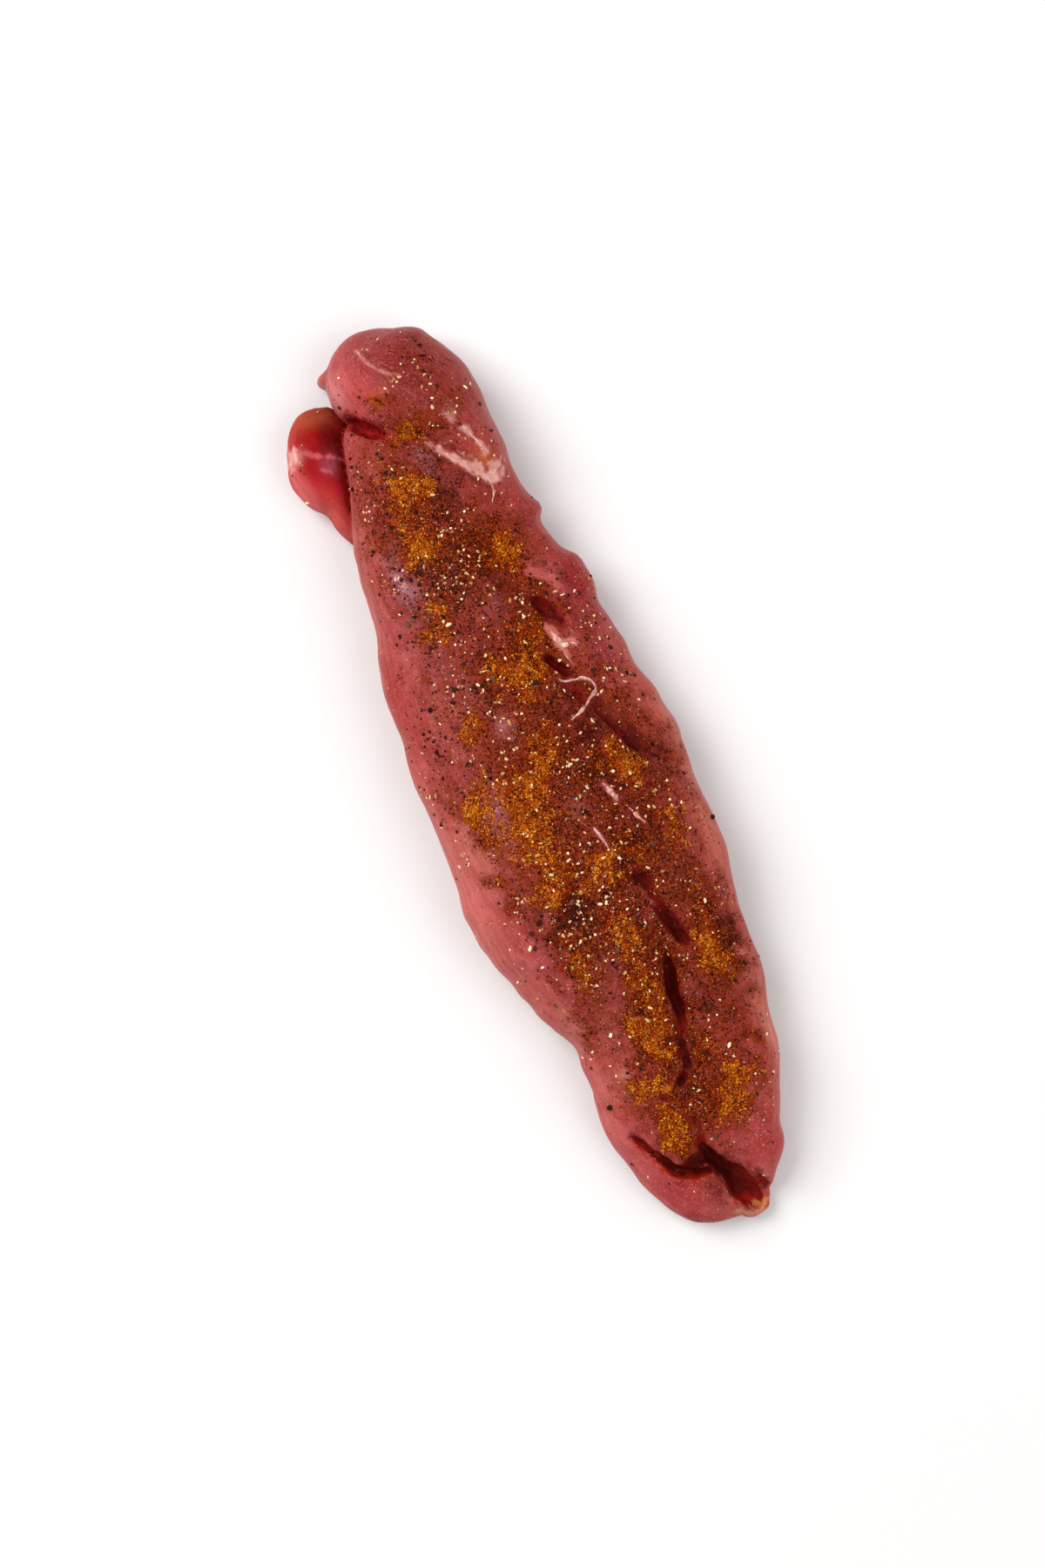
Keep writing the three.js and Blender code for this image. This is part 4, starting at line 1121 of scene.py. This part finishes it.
def ball():
    """The corners and sides of a ball of width 1."""
    form = bmesh.new()
    bmesh.ops.create_icosphere(form, subdivisions=1, radius=0.5)
    corners = np.array([corner.co for corner in form.verts])
    sides = np.array([[corner.index for corner in side.verts] for side in form.faces])
    form.free()
    return corners, sides


# How grains lie: how much they tip, how flat they are, how far they are lifted out of the skin
# as a share of their thickness, and the lowest height of a corner
GRAIN_TIP = 0.35
GRAIN_FLATNESS = (0.6, 0.85)
GRAIN_LIFT = 0.2
GRAIN_FLOOR = 0.05


def strewn_places(density, count, draw):
    """Random places on the skin, more where the density is higher, and the way out at each."""
    corners = SKIN.points[SKIN.faces]
    across = np.cross(corners[:, 2] - corners[:, 0], corners[:, 3] - corners[:, 1])
    area = np.linalg.norm(across, axis=1) / 2
    upright = across[:, 2] / np.maximum(2 * area, 1e-9)
    weight = area * density[SKIN.faces].mean(axis=1) * smooth_step(0.1, 0.6, upright)
    picked = draw.choice(len(weight), size=count, p=weight / weight.sum())
    s, t = draw.random((2, count, 1))
    quad = corners[picked]
    low = quad[:, 0] * (1 - s) + quad[:, 1] * s
    high = quad[:, 3] * (1 - s) + quad[:, 2] * s
    return low * (1 - t) + high * t, across[picked] / (2 * area[picked, None])


def strewn(name, density, count, shape, size, material, seed, stretch=(1, 1.7), uneven=0.15):
    """Many grains as one piece. Size is the usual width, how much it varies and the largest."""
    draw = np.random.default_rng(seed)
    places, normal = strewn_places(density, count, draw)
    usual, varied, largest = size
    corners, sides = shape
    tilt = normal + draw.normal(scale=GRAIN_TIP, size=normal.shape)
    tilt /= np.linalg.norm(tilt, axis=1, keepdims=True)
    aside = np.cross(tilt, draw.normal(size=tilt.shape))
    aside /= np.linalg.norm(aside, axis=1, keepdims=True)
    width = draw.lognormal(math.log(usual), varied, (count, 1))
    width = np.clip(width, 0.5 * usual, largest)
    spread = draw.uniform(*stretch, (count, 1))
    flat = draw.uniform(*GRAIN_FLATNESS, (count, 1))
    local = corners[None] * (1 + uneven * draw.normal(size=(count, len(corners), 1)))
    local = local * np.stack([width * spread, width, width * flat], axis=2)
    axes = np.stack([aside, np.cross(tilt, aside), tilt], axis=1)
    turned = np.einsum("nci,nij->ncj", local, axes)
    lift = normal * width * flat * GRAIN_LIFT
    points = ((places + lift)[:, None, :] + turned).reshape(-1, 3)
    points[:, 2] = np.maximum(points[:, 2], GRAIN_FLOOR)
    steps = (np.arange(count) * len(corners))[:, None, None]
    faces = (sides[None] + steps).reshape(-1, 3)
    piece = mesh_piece(name, points, faces, material, smooth=False)
    set_values(piece, "tone", np.repeat(draw.random(count), len(corners)))


# Strands

def strand_mesh(width, height, points, seed):
    """A flattened tube along a line on the surface, thinner at both ends and a little uneven."""
    line = Line(points)
    at = np.linspace(0, CURVE_STEPS - 1, STRAND_STEPS).astype(int)
    plan = line.rows[at]
    plan = plan + 0.12 * np.stack([waves(plan, 5, seed), waves(plan, 5, seed + 1)], axis=1)
    share = np.linspace(0, 1, STRAND_STEPS)
    swell = np.sin(math.pi * np.clip(share, 0.02, 0.98)) ** 0.5
    swell = swell * (1 + 0.25 * waves(plan, 4, seed + 2))
    aside = np.stack([-line.along[at, 1], line.along[at, 0]], axis=1)
    rings = []
    for side in range(STRAND_SIDES):
        angle = 2 * math.pi * side / STRAND_SIDES
        reach = math.cos(angle) * width / 2 * swell
        place = plan + aside * reach[:, None]
        level = GRID.top_at(place[:, 0], place[:, 1])
        lift = math.sin(angle) * height * swell
        rings.append(np.column_stack([place, level + lift + STRAND_LIFT]))
    points = np.stack(rings, axis=1).reshape(-1, 3)
    step, side = np.meshgrid(np.arange(STRAND_STEPS - 1), np.arange(STRAND_SIDES), indexing="ij")
    here, there = step * STRAND_SIDES, (step + 1) * STRAND_SIDES
    turn = (side + 1) % STRAND_SIDES
    corners = [here + side, there + side, there + turn, here + turn]
    return points, np.stack(corners, axis=-1).reshape(-1, 4)


def fat_strands():
    """All the strands as one piece."""
    points, faces, count = [], [], 0
    for number, (width, height, line) in enumerate(STRANDS):
        some_points, some_faces = strand_mesh(width, height, line, 60 + 3 * number)
        points.append(some_points)
        faces.append(some_faces + count)
        count += len(some_points)
    mesh_piece("fat_strands", np.concatenate(points), np.concatenate(faces), fat_finish())


# The meat and what lies on it. Seasoning is held by the upper side, clear of fat, clefts and the
# wet, shaded places, and a little dark powder sinks into the clefts.

deep = smooth_step(0.7, 2.2, SKIN.cut)
held = smooth_step(0.05, 0.55, SKIN.out[:, 2]) * smooth_step(4, 9, SKIN.z)
held *= clear_of_fat() * np.where(SKIN.form == LOBE, 0.25, 1)
sunk = held * deep
held *= 1 - 0.92 * deep
held *= 1 - 0.55 * amount(SKIN.x, SKIN.y, WET_AND_SHADED_PLACES)
patchy = 0.3 + 0.8 * smooth_step(-1, 0.8, with_waves(0, SKIN.points, (1, 13, 58), (0.7, 5, 59)))
# Less rust lies where the painted sheen and the mauve patches of the flesh are
sheen_and_mauve = [(*area, strength) for *area, to, strength in TINTS[BODY] if to in (SILVERSKIN_SHEEN, MAUVE)]
free = 1 - 0.5 * amount(SKIN.x, SKIN.y, sheen_and_mauve)
clumps = scattered(CLUMPS, 63)
gold = 0.56 * smooth_step(0.16, 0.8, scattered(GOLD, 51))
seasoned = {
    "gold": np.maximum(gold, smooth_step(0.08, 0.66, clumps)) * held,
    "rust": scattered(RUST, 53) * held * free,
    "dark": scattered(DARK, 61) * held * (1 - 0.8 * clumps),
    "pepper": scattered(PEPPER, 55) * held,
    "cream": scattered(CREAM, 57) * held,
    "salt": amount(SKIN.x, SKIN.y, SALT) * held,
}
lit = 1 - 0.7 * seasoned["dark"]


def meat():
    """The meat itself, with what its finish reads at each point."""
    piece = mesh_piece("meat", SKIN.points, SKIN.faces, meat_finish())
    flesh = np.concatenate([skin_colours(), np.ones((len(SKIN.x), 1))], axis=1)
    lay = np.stack([SKIN.along, SKIN.around, SKIN.z], axis=1)
    whole = (1 - smooth_step(0.2, 1.2, SKIN.cut)) * (SKIN.form != LOBE)
    set_values(piece, "flesh", flesh, "FLOAT_COLOR", "color")
    set_values(piece, "lay", lay, "FLOAT_VECTOR", "vector")
    set_values(piece, "spot", SKIN.points, "FLOAT_VECTOR", "vector")
    for name in ("gold", "rust", "dark"):
        set_values(piece, name, seasoned[name])
    set_values(piece, "whole", whole)
    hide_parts("tenderloin")


meat()
fat_strands()
strewn("gold_powder", seasoned["gold"] ** 2 * lit * clumped(3, 81), 24000, octahedron(),
       (0.4, 0.3, 0.95), grain_finish("gold_spice", GOLD_STOPS, 0.8), seed=71)
strewn("rust_powder", patchy * lit * seasoned["rust"] ** 1.5 * clumped(3.4, 82), 18000,
       octahedron(), (0.42, 0.3, 0.9), grain_finish("rust_spice", RUST_STOPS, 0.8), seed=72)
darkest = patchy * seasoned["rust"] ** 2 + 0.9 * seasoned["dark"] + 0.25 * sunk
strewn("dark_powder", darkest * clumped(3, 83), 15000, octahedron(),
       (0.4, 0.3, 0.9), grain_finish("dark_spice", DARK_STOPS, 0.8), seed=75)
strewn("salt_specks", seasoned["salt"] + 0.05 * held, 3400, octahedron(),
       (0.34, 0.25, 0.6), grain_finish("salt", SALT_STOPS, 0.4, 0.2), 76, (1, 1.6), 0.1)
strewn("cream_grains", seasoned["cream"] ** 0.9 + 0.02 * held, 860, ball(),
       (0.66, 0.28, 1.2), grain_finish("cream_grain", CREAM_STOPS, 0.5, 0.2), 73, (1.1, 2.1), 0.09)
strewn("pepper_flakes", seasoned["pepper"] + 0.03 * held, 1050, ball(),
       (0.68, 0.4, 1.9), grain_finish("black_pepper", PEPPER_STOPS, 0.55), 74, (1, 1.5), 0.12)


# Floor, light and camera

# The view is straight down. The camera's right and up in the frame, its height over the floor
# and the place on the floor under it, in millimetres.
VIEW_RIGHT = (0.4067, 0.9135, 0)
VIEW_UP = (-0.9135, 0.4067, 0)
VIEW_HEIGHT = 1150
VIEW_OVER = (-1.3, -9.7)
VIEW_LONG_SIDE = 510.7
SENSOR = 36
# Half the floor's side, in metres
FLOOR_HALF = 12


def pale_floor():
    """A wide pale ground under the meat."""
    mesh = bpy.data.meshes.new("floor")
    turns = [(-1, -1), (1, -1), (1, 1), (-1, 1)]
    corners = [(FLOOR_HALF * x, FLOOR_HALF * y, 0) for x, y in turns]
    mesh.from_pydata(corners, [], [(0, 1, 2, 3)])
    finish = Finish("pale_floor")
    tone = finish.ramp(finish.noise(finish.place(), 0.4, 2.0), FLOOR_STOPS)
    finish.fill(finish.shader, {"Base Color": tone, "Roughness": 0.6})
    mesh.materials.append(finish.material)
    floor = linked("floor", mesh)


def soft_light(name, place, size, power, tint):
    """A square lamp that points at the middle of the meat, from a place seen as in the picture."""
    right, up, height = place
    lamp = bpy.data.lights.new(name, "AREA")
    lamp.shape = "SQUARE"
    lamp.size = size
    lamp.energy = power
    lamp.color = tint
    made = linked(name, lamp)
    at = Vector(VIEW_RIGHT) * right + Vector(VIEW_UP) * up + Vector((0, 0, height))
    made.location = at
    made.rotation_mode = "QUATERNION"
    made.rotation_quaternion = at.to_track_quat("Z", "Y")


def studio():
    """The floor, two soft lamps and the light of the room."""
    pale_floor()
    soft_light("window", (-1.2, 0.7, 1.6), 1.3, 42, (1, 0.985, 0.97))
    soft_light("bounce", (1.2, -0.3, 1.4), 1.6, 16, (1, 0.99, 0.98))
    world = bpy.data.worlds.new("room")
    world.use_nodes = True
    sky = world.node_tree.nodes["Background"]
    sky.inputs["Color"].default_value = (0.97, 0.985, 1, 1)
    sky.inputs["Strength"].default_value = 0.48
    bpy.context.scene.world = world
    bpy.context.scene.view_settings.view_transform = "Standard"


def camera():
    """The view of the picture, straight down."""
    lens = bpy.data.cameras.new("camera")
    lens.sensor_width = SENSOR
    lens.lens = SENSOR * VIEW_HEIGHT / VIEW_LONG_SIDE
    lens.clip_start = 0.05
    made = linked("camera", lens)
    right, up = Vector(VIEW_RIGHT), Vector(VIEW_UP)
    turn = Matrix([right, up, right.cross(up)]).transposed()
    place = Vector((*VIEW_OVER, VIEW_HEIGHT)) * MM
    made.matrix_world = Matrix.Translation(place) @ turn.to_4x4()
    bpy.context.scene.camera = made


studio()
camera()
